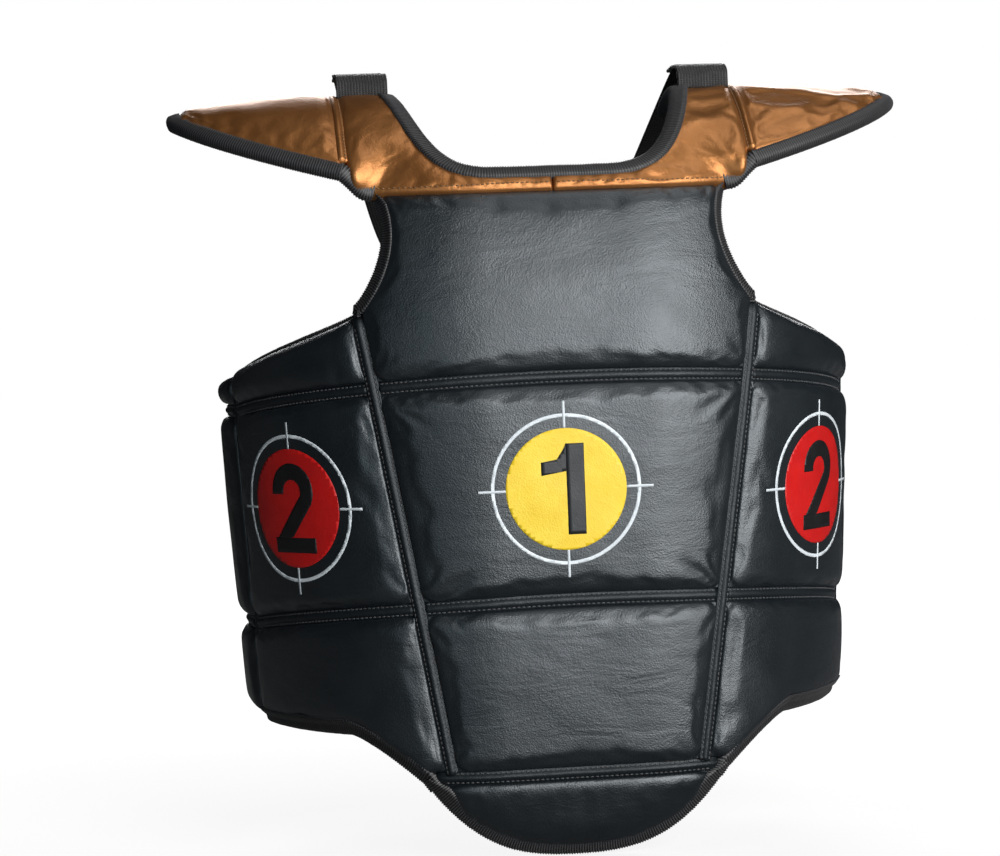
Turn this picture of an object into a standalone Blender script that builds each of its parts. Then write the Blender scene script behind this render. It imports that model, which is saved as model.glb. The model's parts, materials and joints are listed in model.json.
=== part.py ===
"""Chest protector for martial arts: quilted trunk pads, side and back panels, apron, wings and harness.

Frame: metres, +Z up. The origin is on the inner lining at the front centre, level with the front target.
+X is the wearer's left and +Y points to the wearer's back, so the object's front faces -Y.
"""
import math

import bmesh
import bpy
from mathutils import Vector

# Layers, from the outside in
PAD = 0.026            # whole thickness of a quilted pad
COVER = 0.0014         # leather-look sheet
FOAM_TOP = 0.0023      # depth of the foam's outer face
FOAM_BOTTOM = 0.0237   # depth of the foam's inner face
LINING_TOP = 0.025     # depth of the lining's outer face
EDGE_DROP = 0.009      # how far a cover dips towards its sewn edge
EDGE_ROLL = 0.012      # width of that dip
SEAM_HALF = 0.004      # half the width of a sewn channel
FOAM_INSET = 0.0035    # foam stops this far inside its cover's edge

# Horizontal section: a flat front, then tangent arcs (radius, heading in degrees at the arc's end)
FRONT_FLAT = 0.050
ARCS = ((0.173, 15.0), (0.198, 52.0), (0.1875, 90.0), (0.075, 150.0), (0.4036, 180.0))
TAPER = 0.238          # growth of the half-width with height, per metre
LEAN_START = 0.05      # the chest leans back above this height
LEAN = 0.0305          # and by this much at the yoke seam
APRON_LEAN = 0.36      # the apron runs back by this much per metre of drop

# Heights from the target's centre
YOKE_Z = 0.2165
UPPER_CHANNEL_Z = 0.080
LOWER_CHANNEL_Z = -0.080
CHANNEL_DIP = 0.020    # fall of both channels from the centre to the side seam
BOTTOM_SEAM_Z = -0.205
MAIN_SEAM_TOP_Z = 0.133
SIDE_BOTTOM_Z = -0.170
HEM_DROP = 0.059       # apron below the bottom seam
HEM_HALF = 0.120       # half-width of the apron at the bottom seam
HEM_CURVE = 2.6        # roundness of the apron's outline
SIDE_HEM_S = 0.185     # the side panel's bottom edge turns down towards the apron from here
SIDE_HEM_RUN = 0.065   # and reaches the bottom seam this far on
SIDE_HEM_CURVE = 1.4
BACK_TOP_Z = 0.088     # back panel's top edge at the side seam
BACK_TOP_FALL = 0.020
BACK_BOTTOM_RISE = 0.010

# Seams round the body
MAIN_SEAM_S = 0.1286   # main seam's distance from the centre at target height
MAIN_SEAM_SLOPE = 0.151
ARMHOLE_DEPTH = 0.028  # how far the armhole cuts in above the main seam
SIDE_SEAM_S = 0.301
BACK_EDGE_S = 0.542

# Shoulders: an arch over the shoulder line
SHOULDER_Y = 0.114
SHOULDER_Z = 0.294
ARCH = 6.44            # fall of the arch, per metre squared from the shoulder line
DROOP_START = 0.150
DROOP = 0.080          # fall of the wing outwards, per metre
WING_ROOT_X = 0.152
WING_TIP_X = 0.274
WING_OUTLINE_X = 0.134     # where the wing's outline would reach its full depth
WING_HALF_DEPTH = 0.101
WING_BACK_SHARE = 0.6      # the half behind the shoulder line is this much shallower
WING_CURVE = 0.38          # roundness of the wing's outline
GOLD_SHEET = 0.0012        # yoke and wing sheet
GOLD_FOAM_TOP = 0.0018     # depth of the foam below it
YOKE_FOAM_BOTTOM = 0.0098
WING_FOAM_BOTTOM = 0.0095
WING_LINING_TOP = 0.0100
WING_LINING = 0.0008
WING_RIM_DROP = 0.0030     # the wing's cover and foam dip this far at their rim

# Targets
DISC_R = 0.0435
RING_INNER_R = 0.0515
RING_OUTER_R = 0.0540
TICK_R = 0.0630
TICK_HALF_ANGLE = math.radians(0.9)
SIDE_TARGET_S = 0.2154
SIDE_TARGET_Z = -0.0096

# Webbing
STRAP_WIDTH = 0.037
STRAP_THICK = 0.002
STRAP_X = 0.129
WAIST_Z = -0.060
CROSS_Y = 0.290        # where the harness straps cross behind the shoulder blades
CROSS_Z = 0.080
CROSS_LIFT = 0.006     # the upper strap's clearance over the lower one
STRAP_START = Vector((STRAP_X, SHOULDER_Y - 0.012, SHOULDER_Z + 0.0075))
STRAP_TOP = Vector((STRAP_X, SHOULDER_Y + 0.040, SHOULDER_Z + 0.0030))
STRAP_BLADE = Vector((0.090, 0.250, 0.190))     # over the shoulder blade
STRAP_CROSS = Vector((0.0, CROSS_Y, CROSS_Z))
STRAP_END = Vector((-0.080, 0.286, -0.010))     # free end beside the other side's back panel
PATCH_SIZE = 0.056
PATCH_THICK = 0.0016
PATCH_GAP = 0.0035     # from the upper strap's middle to the patch's
WAIST_GAP = 0.004      # waist strap to either back panel, round the body
WAIST_DEPTH = 0.009

HINGE_DEPTH = 0.004    # hinge lines run this far below the outer face


# ---------------------------------------------------------------- frame of the body

def section(s):
    """x, y and heading on the outer curve, at a distance s round from the front centre."""
    side = 1.0 if s >= 0 else -1.0
    left = abs(s)
    if left <= FRONT_FLAT:
        return s, 0.0, 0.0
    x, y, heading = FRONT_FLAT, 0.0, 0.0
    left -= FRONT_FLAT
    for radius, end in ARCS:
        turn = min(left / radius, math.radians(end) - heading)
        x += radius * (math.sin(heading + turn) - math.sin(heading))
        y += radius * (math.cos(heading) - math.cos(heading + turn))
        heading += turn
        left -= radius * turn
        if left <= 1e-9:
            break
    return side * x, y, side * heading


def half_round():
    """Length of the outer curve from the front centre to the back centre."""
    length, heading = FRONT_FLAT, 0.0
    for radius, end in ARCS:
        length += radius * (math.radians(end) - heading)
        heading = math.radians(end)
    return length


def lean(z):
    """How far back the body lies at a height."""
    if z > LEAN_START:
        return LEAN * ((z - LEAN_START) / (YOKE_Z - LEAN_START)) ** 2
    if z < BOTTOM_SEAM_Z:
        return APRON_LEAN * (BOTTOM_SEAM_Z - z)
    return 0.0


def wrap(s, z, depth):
    """Point on the trunk: s round the body, z up, depth in from the outer face."""
    x, y, heading = section(s)
    x = x * (1 + TAPER * z) - depth * math.sin(heading)
    y = y - PAD + lean(z) + depth * math.cos(heading)
    return Vector((x, y, z))


def arch(x, y, depth):
    """Point on the shoulder arch: x and y in plan, depth down from the outer face."""
    fall = DROOP * max(0.0, abs(x) - DROOP_START)
    z = SHOULDER_Z - fall - ARCH * (y - SHOULDER_Y) ** 2
    slope_x = -math.copysign(DROOP, x) if abs(x) > DROOP_START else 0.0
    slope_y = -2 * ARCH * (y - SHOULDER_Y)
    normal = Vector((-slope_x, -slope_y, 1.0)).normalized()
    return Vector((x, y, z)) - normal * depth


# ---------------------------------------------------------------- seam lines

def main_seam(z):
    return MAIN_SEAM_S + MAIN_SEAM_SLOPE * min(z, MAIN_SEAM_TOP_Z)


def armhole(z):
    """Outer edge of the chest pad: the main seam, then the armhole above it."""
    if z <= MAIN_SEAM_TOP_Z:
        return main_seam(z)
    rise = (z - MAIN_SEAM_TOP_Z) / (YOKE_Z - MAIN_SEAM_TOP_Z)
    return main_seam(z) - ARMHOLE_DEPTH * math.sin(math.pi * min(1.0, rise * 0.72)) ** 0.8


def upper_channel(s):
    return UPPER_CHANNEL_Z - CHANNEL_DIP * (s / SIDE_SEAM_S) ** 2


def lower_channel(s):
    return LOWER_CHANNEL_Z - CHANNEL_DIP * (s / SIDE_SEAM_S) ** 2


def side_top(s):
    """Top edge of the side panel, falling from the main seam to the side seam."""
    along = (abs(s) - main_seam(MAIN_SEAM_TOP_Z)) / (SIDE_SEAM_S - main_seam(MAIN_SEAM_TOP_Z))
    return MAIN_SEAM_TOP_Z - 0.003 - 0.040 * min(1.0, max(0.0, along)) ** 0.8


def side_bottom(s):
    """Bottom edge of the side panel, running down into the apron's hem."""
    share = min(1.0, max(0.0, (SIDE_HEM_S - abs(s)) / SIDE_HEM_RUN))
    return SIDE_BOTTOM_Z + (BOTTOM_SEAM_Z - SIDE_BOTTOM_Z) * share ** SIDE_HEM_CURVE


def back_top(s):
    return BACK_TOP_Z - BACK_TOP_FALL * (abs(s) - SIDE_SEAM_S) / (BACK_EDGE_S - SIDE_SEAM_S)


def back_bottom(s):
    return SIDE_BOTTOM_Z + BACK_BOTTOM_RISE * (abs(s) - SIDE_SEAM_S) / (BACK_EDGE_S - SIDE_SEAM_S)


def hem(s):
    return BOTTOM_SEAM_Z - HEM_DROP * (1 - min(1.0, abs(s) / HEM_HALF) ** HEM_CURVE)


# ---------------------------------------------------------------- scene set-up and materials

for old in list(bpy.data.objects):
    bpy.data.objects.remove(old)

parts = bpy.data.collections.new("chest_protector")
bpy.context.scene.collection.children.link(parts)

FINISHES = {
    "black_leather": ((0.055, 0.065, 0.078), 0.42, 0.0),
    "gold_leather": ((0.52, 0.29, 0.10), 0.34, 0.6),
    "foam": ((0.20, 0.21, 0.22), 0.90, 0.0),
    "lining": ((0.03, 0.03, 0.035), 0.85, 0.0),
    "binding": ((0.02, 0.02, 0.022), 0.80, 0.0),
    "webbing": ((0.02, 0.02, 0.022), 0.75, 0.0),
    "yellow_print": ((0.85, 0.55, 0.01), 0.45, 0.0),
    "red_print": ((0.60, 0.01, 0.01), 0.45, 0.0),
}


def finish(obj, finish_name):
    """Give an object its own material."""
    colour, roughness, metallic = FINISHES[finish_name]
    material = bpy.data.materials.new(obj.name + "_" + finish_name)
    material.use_nodes = True
    shader = material.node_tree.nodes["Principled BSDF"]
    shader.inputs["Base Color"].default_value = (*colour, 1.0)
    shader.inputs["Roughness"].default_value = roughness
    shader.inputs["Metallic"].default_value = metallic
    obj.data.materials.append(material)


# ---------------------------------------------------------------- builders

def make_object(name, bm, finish_name, pivot):
    """Turn a bmesh in world coordinates into an object whose origin is its joint's pivot."""
    bmesh.ops.recalc_face_normals(bm, faces=bm.faces)
    if bm.calc_volume(signed=True) < 0:
        bmesh.ops.reverse_faces(bm, faces=bm.faces)
    bmesh.ops.translate(bm, verts=bm.verts, vec=-pivot)
    mesh = bpy.data.meshes.new(name)
    bm.to_mesh(mesh)
    bm.free()
    mesh.shade_smooth()
    mesh.set_sharp_from_angle(angle=math.radians(40))
    obj = bpy.data.objects.new(name, mesh)
    obj.location = pivot
    parts.objects.link(obj)
    finish(obj, finish_name)
    return obj


def stations(count, roll):
    """Grid stations from 0 to 1: even, or with the first and last step as wide as the edge roll."""
    if roll is None:
        return [i / count for i in range(count + 1)]
    inner = [roll + (1 - 2 * roll) * i / (count - 2) for i in range(count - 1)]
    return [0.0] + inner + [1.0]


def slab(name, place, cols, rows, finish_name, pivot, roll=(None, None)):
    """A closed solid over a grid: place(u, v, rim, layer), layer 0 outside and 1 inside."""
    us, vs = stations(cols, roll[0]), stations(rows, roll[1])
    bm = bmesh.new()
    bmesh.ops.create_grid(bm, x_segments=cols, y_segments=rows, size=0.5)
    index = {v: (round((v.co.x + 0.5) * cols), round((v.co.y + 0.5) * rows)) for v in bm.verts}
    sheet = list(bm.faces)
    made = bmesh.ops.extrude_face_region(bm, geom=sheet, use_keep_orig=True)
    lifted = [g for g in made["geom"] if isinstance(g, bmesh.types.BMVert)]
    for vert in lifted:
        index[vert] = (round((vert.co.x + 0.5) * cols), round((vert.co.y + 0.5) * rows))
    lifted = set(lifted)
    for vert, (i, j) in index.items():
        rim = i in (0, cols) or j in (0, rows)
        vert.co = place(us[i], vs[j], rim, 0 if vert in lifted else 1)
    return make_object(name, bm, finish_name, pivot)


def shell(name, place, cols, rows, thickness, finish_name, pivot):
    """An open grid with Solidify: place(u, v) is its outer face."""
    bm = bmesh.new()
    bmesh.ops.create_grid(bm, x_segments=cols, y_segments=rows, size=0.5)
    outward = (place(0.6, 0.5) - place(0.5, 0.5)).cross(place(0.5, 0.6) - place(0.5, 0.5))
    for vert in bm.verts:
        vert.co = place(vert.co.x + 0.5, vert.co.y + 0.5)
    bmesh.ops.recalc_face_normals(bm, faces=bm.faces)
    bm.faces.ensure_lookup_table()
    middle = min(bm.faces, key=lambda f: (f.calc_center_median() - place(0.5, 0.5)).length)
    if middle.normal.dot(outward) < 0:
        bmesh.ops.reverse_faces(bm, faces=bm.faces)
    bmesh.ops.translate(bm, verts=bm.verts, vec=-pivot)
    mesh = bpy.data.meshes.new(name)
    bm.to_mesh(mesh)
    bm.free()
    obj = bpy.data.objects.new(name, mesh)
    obj.location = pivot
    parts.objects.link(obj)
    solid = obj.modifiers.new("thickness", "SOLIDIFY")
    solid.thickness = thickness
    solid.offset = -1.0
    solid.use_even_offset = True
    finish(obj, finish_name)
    return obj


def blend(a, b, t):
    return a + (b - a) * t


class Panel:
    """A patch of the trunk between two seams (left, right: s from z) and two edges (z from s)."""

    def __init__(self, left, right, low, high):
        self.left, self.right, self.low, self.high = left, right, low, high

    def at(self, u, v, inset):
        """s and z at shares u and v of the patch, shrunk by inset all round."""
        s, z = 0.0, 0.0
        for _ in range(6):
            s = blend(self.left(z) + inset, self.right(z) - inset, u)
            z = blend(self.low(s) + inset, self.high(s) - inset, v)
        return s, z

    def size(self):
        s0, z0 = self.at(0.0, 0.5, 0.0)
        s1, z1 = self.at(1.0, 0.5, 0.0)
        z2, z3 = self.at(0.5, 0.0, 0.0)[1], self.at(0.5, 1.0, 0.0)[1]
        return abs(s1 - s0), abs(z3 - z2)

    def cover(self, name, cols, rows, pivot, inset=SEAM_HALF, drop=EDGE_DROP, look="black_leather"):
        """The leather-look sheet over the pad, dipping to its sewn edge."""
        width, height = self.size()

        def place(u, v, rim, layer):
            s, z = self.at(u, v, inset)
            depth = (drop if rim else 0.0) + COVER * layer
            return wrap(s, z, depth)

        return slab(name, place, cols, rows, look, pivot, (EDGE_ROLL / width, EDGE_ROLL / height))

    def foam(self, name, cols, rows, pivot, inset=SEAM_HALF + FOAM_INSET, drop=EDGE_DROP, bottom=FOAM_BOTTOM):
        """The foam under the cover: its outer face dips with the cover, its inner face is plain."""
        width, height = self.size()

        def place(u, v, rim, layer):
            s, z = self.at(u, v, inset)
            depth = bottom if layer else FOAM_TOP + (drop if rim else 0.0)
            return wrap(s, z, depth)

        return slab(name, place, cols, rows, "foam", pivot, (EDGE_ROLL / width, EDGE_ROLL / height))

    def lining(self, name, cols, rows, pivot, inset=0.001, top=LINING_TOP):
        def place(u, v):
            return wrap(*self.at(u, v, inset), top)

        return shell(name, place, cols, rows, PAD - top, "lining", pivot)


def edge_band(name, path, cols, pivot, inner=-0.0030, outer=-0.0018, top=0.0095, bottom=0.0238):
    """Binding round a pad's edge: path(t, out) gives s and z, moved outwards by out."""

    def place(u, v, rim, layer):
        s, z = path(u, inner if layer else outer)
        return wrap(s, z, blend(top, bottom, v))

    return slab(name, place, cols, 1, "binding", pivot)


# ---------------------------------------------------------------- pivots of the moving bodies

ORIGIN = Vector((0.0, 0.0, 0.0))


def mirror_x(vector, side):
    return Vector((side * vector.x, vector.y, vector.z))


SIDE_PIVOT = wrap(main_seam(BOTTOM_SEAM_Z), BOTTOM_SEAM_Z, HINGE_DEPTH)
BACK_PIVOT = wrap(SIDE_SEAM_S, 0.0, HINGE_DEPTH)
WING_PIVOT = Vector((WING_ROOT_X, SHOULDER_Y, SHOULDER_Z))
APRON_PIVOT = Vector((0.0, -PAD + HINGE_DEPTH, BOTTOM_SEAM_Z))
HARNESS_PIVOT = Vector((0.0, SHOULDER_Y - 0.014, SHOULDER_Z + 0.0075))
WAIST_PIVOT = wrap(BACK_EDGE_S + WAIST_GAP, WAIST_Z, -0.002)


# ---------------------------------------------------------------- front panel

def front_panel():
    chest = Panel(lambda z: -armhole(z), armhole, upper_channel, lambda s: YOKE_Z - 0.006)
    target = Panel(lambda z: -main_seam(z), main_seam, lower_channel, upper_channel)
    belly = Panel(lambda z: -main_seam(z), main_seam, lambda s: BOTTOM_SEAM_Z, lower_channel)
    whole = Panel(lambda z: -armhole(z), armhole, lambda s: BOTTOM_SEAM_Z, lambda s: YOKE_Z - 0.008)
    for name, pad, rows in (("chest", chest, 6), ("target", target, 4), ("belly", belly, 4)):
        pad.cover(name + "_cover", 8, rows, ORIGIN)
        pad.foam(name + "_foam", 8, rows, ORIGIN)
    whole.lining("front_lining", 8, 12, ORIGIN, inset=0.0015)
    for side, word in ((1, "left"), (-1, "right")):

        def armhole_path(t, out, side=side):
            z = blend(MAIN_SEAM_TOP_Z + 0.004, YOKE_Z - 0.010, t)
            return side * (armhole(z) + out), z

        edge_band("armhole_binding_" + word, armhole_path, 6, ORIGIN, inner=-0.0012, outer=0.0)
    target_print("front_target_print", 0.0, 0.0, -0.0003, "yellow_print", ORIGIN)


def target_print(name, centre_s, centre_z, lift, look, pivot):
    """Disc, ring and four ticks in one thin layer, wrapped on the pad at a lift from its face."""
    radii = [0.0, DISC_R * 0.5, DISC_R, RING_INNER_R, RING_OUTER_R, TICK_R]
    angles = []
    for quarter in range(4):
        base = quarter * math.pi / 2
        angles += [base - TICK_HALF_ANGLE, base + TICK_HALF_ANGLE]
        angles += [base + math.pi / 2 * share for share in (0.33, 0.67)]
    turns = len(angles)
    bm = bmesh.new()
    bmesh.ops.create_grid(bm, x_segments=turns, y_segments=len(radii) - 1, size=0.5)
    spare = []
    for face in bm.faces:
        centre = face.calc_center_median()
        sector, ring = int((centre.x + 0.5) * turns), int((centre.y + 0.5) * (len(radii) - 1))
        if ring in (2, 4) and sector % 4 != 0:
            spare.append(face)
    bmesh.ops.delete(bm, geom=spare, context="FACES")
    for vert in bm.verts:
        angle = angles[round((vert.co.x + 0.5) * turns) % turns]
        radius = radii[round((vert.co.y + 0.5) * (len(radii) - 1))]
        vert.co = (centre_s + radius * math.sin(angle), 0.0, centre_z + radius * math.cos(angle))
    bmesh.ops.remove_doubles(bm, verts=bm.verts, dist=1e-6)
    loose = [v for v in bm.verts if not v.link_faces]
    bmesh.ops.delete(bm, geom=loose, context="VERTS")
    made = bmesh.ops.extrude_face_region(bm, geom=list(bm.faces), use_keep_orig=True)
    lifted = {g for g in made["geom"] if isinstance(g, bmesh.types.BMVert)}
    for vert in bm.verts:
        vert.co = wrap(vert.co.x, vert.co.z, lift - (0.0005 if vert in lifted else 0.0))
    return make_object(name, bm, look, pivot)


# ---------------------------------------------------------------- yoke

NECK_LINE = ((0.0, 0.0151), (0.030, 0.0151), (0.055, 0.0160), (0.074, 0.0215), (0.088, 0.0340),
             (0.098, 0.0540), (0.106, 0.0850), (0.109, SHOULDER_Y), (0.108, SHOULDER_Y + 0.042))
YOKE_EDGE = ((0.0, 0.0043), (0.035, 0.0043), (0.070, 0.0043), (0.098, 0.0043), (0.122, 0.0043),
             (0.1445, 0.0225), (0.1475, 0.0650), (0.150, SHOULDER_Y), (0.150, SHOULDER_Y + 0.042))


def along(points, t):
    """Point a share t along a list of plan points."""
    place = t * (len(points) - 1)
    i = min(int(place), len(points) - 2)
    share = place - i
    return (blend(points[i][0], points[i + 1][0], share), blend(points[i][1], points[i + 1][1], share))


def yoke():
    for side, word in ((1, "left"), (-1, "right")):

        def plan(u, v, inset, side=side):
            """u along the yoke from the centre to the shoulder's back, v from neckline to armhole."""
            inner, outer = along(NECK_LINE, u), along(YOKE_EDGE, u)
            gap = max(0.004, math.hypot(outer[0] - inner[0], outer[1] - inner[1]))
            trim = min(0.3, inset / gap)
            v = trim + v * (1 - 2 * trim)
            x = blend(inner[0], outer[0], v)
            y = blend(inner[1], outer[1], v)
            return side * max(x, inset), y

        def cover(u, v, rim, layer):
            x, y = plan(u, v, 0.0004)
            return arch(x, y, GOLD_SHEET * layer)

        def foam(u, v, rim, layer):
            x, y = plan(u, v, 0.0015)
            return arch(x, y, YOKE_FOAM_BOTTOM if layer else GOLD_FOAM_TOP)

        slab("yoke_cover_" + word, cover, 16, 2, "gold_leather", ORIGIN)
        slab("yoke_foam_" + word, foam, 16, 1, "foam", ORIGIN)

    def neck(u, v, rim, layer):
        side = 1 if u >= 0.5 else -1
        x, y = along(NECK_LINE, abs(2 * u - 1))
        ahead = along(NECK_LINE, min(1.0, abs(2 * u - 1) + 0.02))
        behind = along(NECK_LINE, max(0.0, abs(2 * u - 1) - 0.02))
        run = math.hypot(ahead[0] - behind[0], ahead[1] - behind[1])
        out = 0.0005 if layer else 0.0020
        x -= (ahead[1] - behind[1]) / run * out
        y += (ahead[0] - behind[0]) / run * out
        return arch(side * x, y, blend(-0.0015, 0.0125, v))

    slab("neck_binding", neck, 28, 1, "binding", ORIGIN)


# ---------------------------------------------------------------- wings

def wing_half_depth(x):
    share = min(1.0, (x - WING_OUTLINE_X) / (WING_TIP_X - WING_OUTLINE_X))
    return WING_HALF_DEPTH * (1 - share) ** WING_CURVE


def wings():
    for side, word in ((1, "left"), (-1, "right")):
        pivot = mirror_x(WING_PIVOT, side)

        def plan(u, v, inset, side=side):
            """u from the root to the tip, v from the back edge to the front edge."""
            x = blend(WING_ROOT_X + 0.001 + inset, WING_TIP_X - 0.010 - inset, u)
            across = 2 * v - 1
            half = wing_half_depth(x) - inset
            if across < 0:
                half = WING_BACK_SHARE * half
            return side * x, SHOULDER_Y - across * half

        def cover(u, v, rim, layer):
            x, y = plan(u, v, 0.0025)
            return arch(x, y, (WING_RIM_DROP if rim else 0.0) + GOLD_SHEET * layer)

        def foam(u, v, rim, layer):
            x, y = plan(u, v, 0.0040)
            return arch(x, y, WING_FOAM_BOTTOM if layer else GOLD_FOAM_TOP + (WING_RIM_DROP if rim else 0.0))

        def lining(u, v, rim, layer):
            x, y = plan(u, v, 0.0025)
            return arch(x, y, WING_LINING_TOP + WING_LINING * layer)

        def binding(u, v, rim, layer):
            t = 2 * u - 1
            x = blend(WING_ROOT_X + 0.002, WING_TIP_X - 0.004, 1 - abs(t) ** 1.6)
            half = wing_half_depth(x) - (0.0018 if layer else 0.0)
            tip_out = 0.0 if layer else 0.0018
            if t < 0:
                y = SHOULDER_Y + WING_BACK_SHARE * half
            else:
                y = SHOULDER_Y - half
            if t == 0:
                y = SHOULDER_Y - half * 0.2
            return arch(side * (x + tip_out), y, blend(0.0005, 0.0120, v))

        slab("wing_cover_" + word, cover, 6, 6, "gold_leather", pivot, (0.06, 0.06))
        slab("wing_foam_" + word, foam, 6, 6, "foam", pivot, (0.06, 0.06))
        slab("wing_lining_" + word, lining, 6, 6, "lining", pivot, (0.06, 0.06))
        slab("wing_binding_" + word, binding, 16, 1, "binding", pivot)


# ---------------------------------------------------------------- side panels

def side_panels():
    for side, word in ((1, "left"), (-1, "right")):
        pivot = mirror_x(SIDE_PIVOT, side)

        def near(z):
            return main_seam(z)

        def far(z):
            return SIDE_SEAM_S

        def seams(low, high, side=side):
            if side > 0:
                return Panel(near, far, low, high)
            return Panel(lambda z: -far(z), lambda z: -near(z), low, high)

        upper = seams(upper_channel, side_top)
        middle = seams(lower_channel, upper_channel)
        lower = seams(side_bottom, lower_channel)
        whole = seams(side_bottom, side_top)
        for level, pad, rows, drop in (("upper", upper, 3, 0.006), ("middle", middle, 4, EDGE_DROP),
                                       ("lower", lower, 3, EDGE_DROP)):
            pad.cover(f"side_{level}_cover_{word}", 8, rows, pivot, drop=drop)
            pad.foam(f"side_{level}_foam_{word}", 8, rows, pivot, drop=drop)
        whole.lining("side_lining_" + word, 8, 4, pivot)
        target_print("side_target_print_" + word, side * SIDE_TARGET_S, SIDE_TARGET_Z, -0.0012,
                     "red_print", pivot)

        def top_path(t, out, side=side):
            s = blend(near(MAIN_SEAM_TOP_Z) + 0.005, SIDE_SEAM_S - 0.004, t)
            return side * s, side_top(s) + out

        def hem_path(t, out, side=side):
            s = blend(near(BOTTOM_SEAM_Z) + 0.048, SIDE_SEAM_S - 0.004, t)
            return side * s, side_bottom(s) - out

        edge_band("side_top_binding_" + word, top_path, 8, pivot, top=0.0125)
        edge_band("side_hem_binding_" + word, hem_path, 8, pivot, top=0.0125)


# ---------------------------------------------------------------- back panels

def back_panels():
    for side, word in ((1, "left"), (-1, "right")):
        pivot = mirror_x(BACK_PIVOT, side)
        if side > 0:
            whole = Panel(lambda z: SIDE_SEAM_S, lambda z: BACK_EDGE_S, back_bottom, back_top)
        else:
            whole = Panel(lambda z: -BACK_EDGE_S, lambda z: -SIDE_SEAM_S, back_bottom, back_top)
        whole.cover("back_cover_" + word, 9, 3, pivot)
        whole.foam("back_foam_" + word, 9, 3, pivot)
        whole.lining("back_lining_" + word, 9, 2, pivot)

        def edge_path(t, out, side=side):
            z = blend(back_bottom(BACK_EDGE_S) + 0.004, back_top(BACK_EDGE_S) - 0.004, t)
            return side * (BACK_EDGE_S + out), z

        edge_band("back_edge_binding_" + word, edge_path, 6, pivot)


# ---------------------------------------------------------------- apron

def apron():
    panel = Panel(lambda z: -HEM_HALF + 0.006, lambda z: HEM_HALF - 0.006, hem, lambda s: BOTTOM_SEAM_Z)
    panel.cover("apron_cover", 10, 3, APRON_PIVOT, inset=SEAM_HALF, drop=0.006)
    panel.foam("apron_foam", 10, 3, APRON_PIVOT, inset=0.0060, drop=0.006, bottom=0.0190)
    panel.lining("apron_lining", 10, 2, APRON_PIVOT, inset=SEAM_HALF, top=0.0200)

    def hem_path(t, out):
        s = blend(-HEM_HALF + 0.006, HEM_HALF - 0.006, t)
        return s, hem(s) - out

    edge_band("apron_binding", hem_path, 14, APRON_PIVOT, top=0.0065, bottom=0.0192)


# ---------------------------------------------------------------- harness and waist strap

def ribbon(name, spine, across, cols, width, thickness, pivot):
    """Webbing along spine(t), across(t) being the unit vector over its width."""

    def place(u, v):
        return spine(u) + across(u) * (width * (v - 0.5))

    return shell(name, place, cols, 1, thickness, "webbing", pivot)


def harness():
    corners = (STRAP_START, STRAP_TOP, STRAP_BLADE, STRAP_CROSS, STRAP_END)
    for side, word, lift in ((1, "left", 0.0), (-1, "right", CROSS_LIFT)):

        def spine(t, side=side, lift=lift):
            """A smooth run through the corners."""
            place = t * (len(corners) - 1)
            i = min(int(place), len(corners) - 2)
            share = place - i
            before = corners[max(0, i - 1)]
            after = corners[min(len(corners) - 1, i + 2)]
            a, b = corners[i], corners[i + 1]
            slope_a, slope_b = (b - before) * 0.5, (after - a) * 0.5
            h = share * share * (3 - 2 * share)
            point = a + (b - a) * h
            point += slope_a * (share * (1 - share) ** 2) * 0.6
            point -= slope_b * (share * share * (1 - share)) * 0.6
            outward = min(1.0, max(0.0, (t - 0.45) / 0.2))
            return Vector((side * point.x, point.y + lift * outward, point.z))

        def across(t, side=side, spine=spine):
            run = (spine(min(1.0, t + 0.02)) - spine(max(0.0, t - 0.02))).normalized()
            share = min(1.0, max(0.0, (t - 0.25) / 0.25))
            outward = Vector((0.0, 0.0, 1.0)).lerp(Vector((0.0, 1.0, 0.0)), share)
            return run.cross(outward).normalized()

        strap = ribbon("harness_strap_" + word, spine, across, 12, STRAP_WIDTH, STRAP_THICK, HARNESS_PIVOT)
        strap.modifiers["thickness"].offset = 0.0

    bpy.ops.mesh.primitive_cube_add(size=1.0, location=(0.0, 0.0, 0.0))
    patch = bpy.context.object
    patch.name = "harness_cross_patch"
    patch.data.name = "harness_cross_patch"
    centre = Vector((0.0, CROSS_Y + CROSS_LIFT + PATCH_GAP, CROSS_Z)) - HARNESS_PIVOT
    for vert in patch.data.vertices:
        x, y, z = vert.co
        vert.co = centre + Vector((x * PATCH_SIZE, y * PATCH_THICK, z * PATCH_SIZE))
    patch.location = HARNESS_PIVOT
    for group in list(patch.users_collection):
        group.objects.unlink(patch)
    parts.objects.link(patch)
    finish(patch, "webbing")


def waist_strap():
    """Closing strap, sewn at the left back panel's edge and reaching across the open back."""
    half = half_round()
    first = BACK_EDGE_S + WAIST_GAP
    last = 2 * half - BACK_EDGE_S - WAIST_GAP

    def place(u, v):
        s = blend(first, last, u)
        z = WAIST_Z + STRAP_WIDTH * (v - 0.5)
        if s <= half:
            return wrap(s, z, WAIST_DEPTH)
        point = wrap(2 * half - s, z, WAIST_DEPTH)
        return Vector((-point.x, point.y, point.z))

    strap = shell("waist_strap", place, 10, 1, STRAP_THICK, "webbing", WAIST_PIVOT)
    strap.modifiers["thickness"].offset = 0.0


front_panel()
yoke()
wings()
side_panels()
back_panels()
apron()
harness()
waist_strap()
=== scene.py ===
"""Looks of the chest protector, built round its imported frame.

Metres, +Z up. The front faces -Y and +X is the wearer's left. s is the distance round the trunk from
the front centre, z the height, and depth runs in from the outer face of the pads.
"""
import json
import math

import bmesh
import bpy
from mathutils import Matrix, Vector, noise
from mathutils.bvhtree import BVHTree

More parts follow.
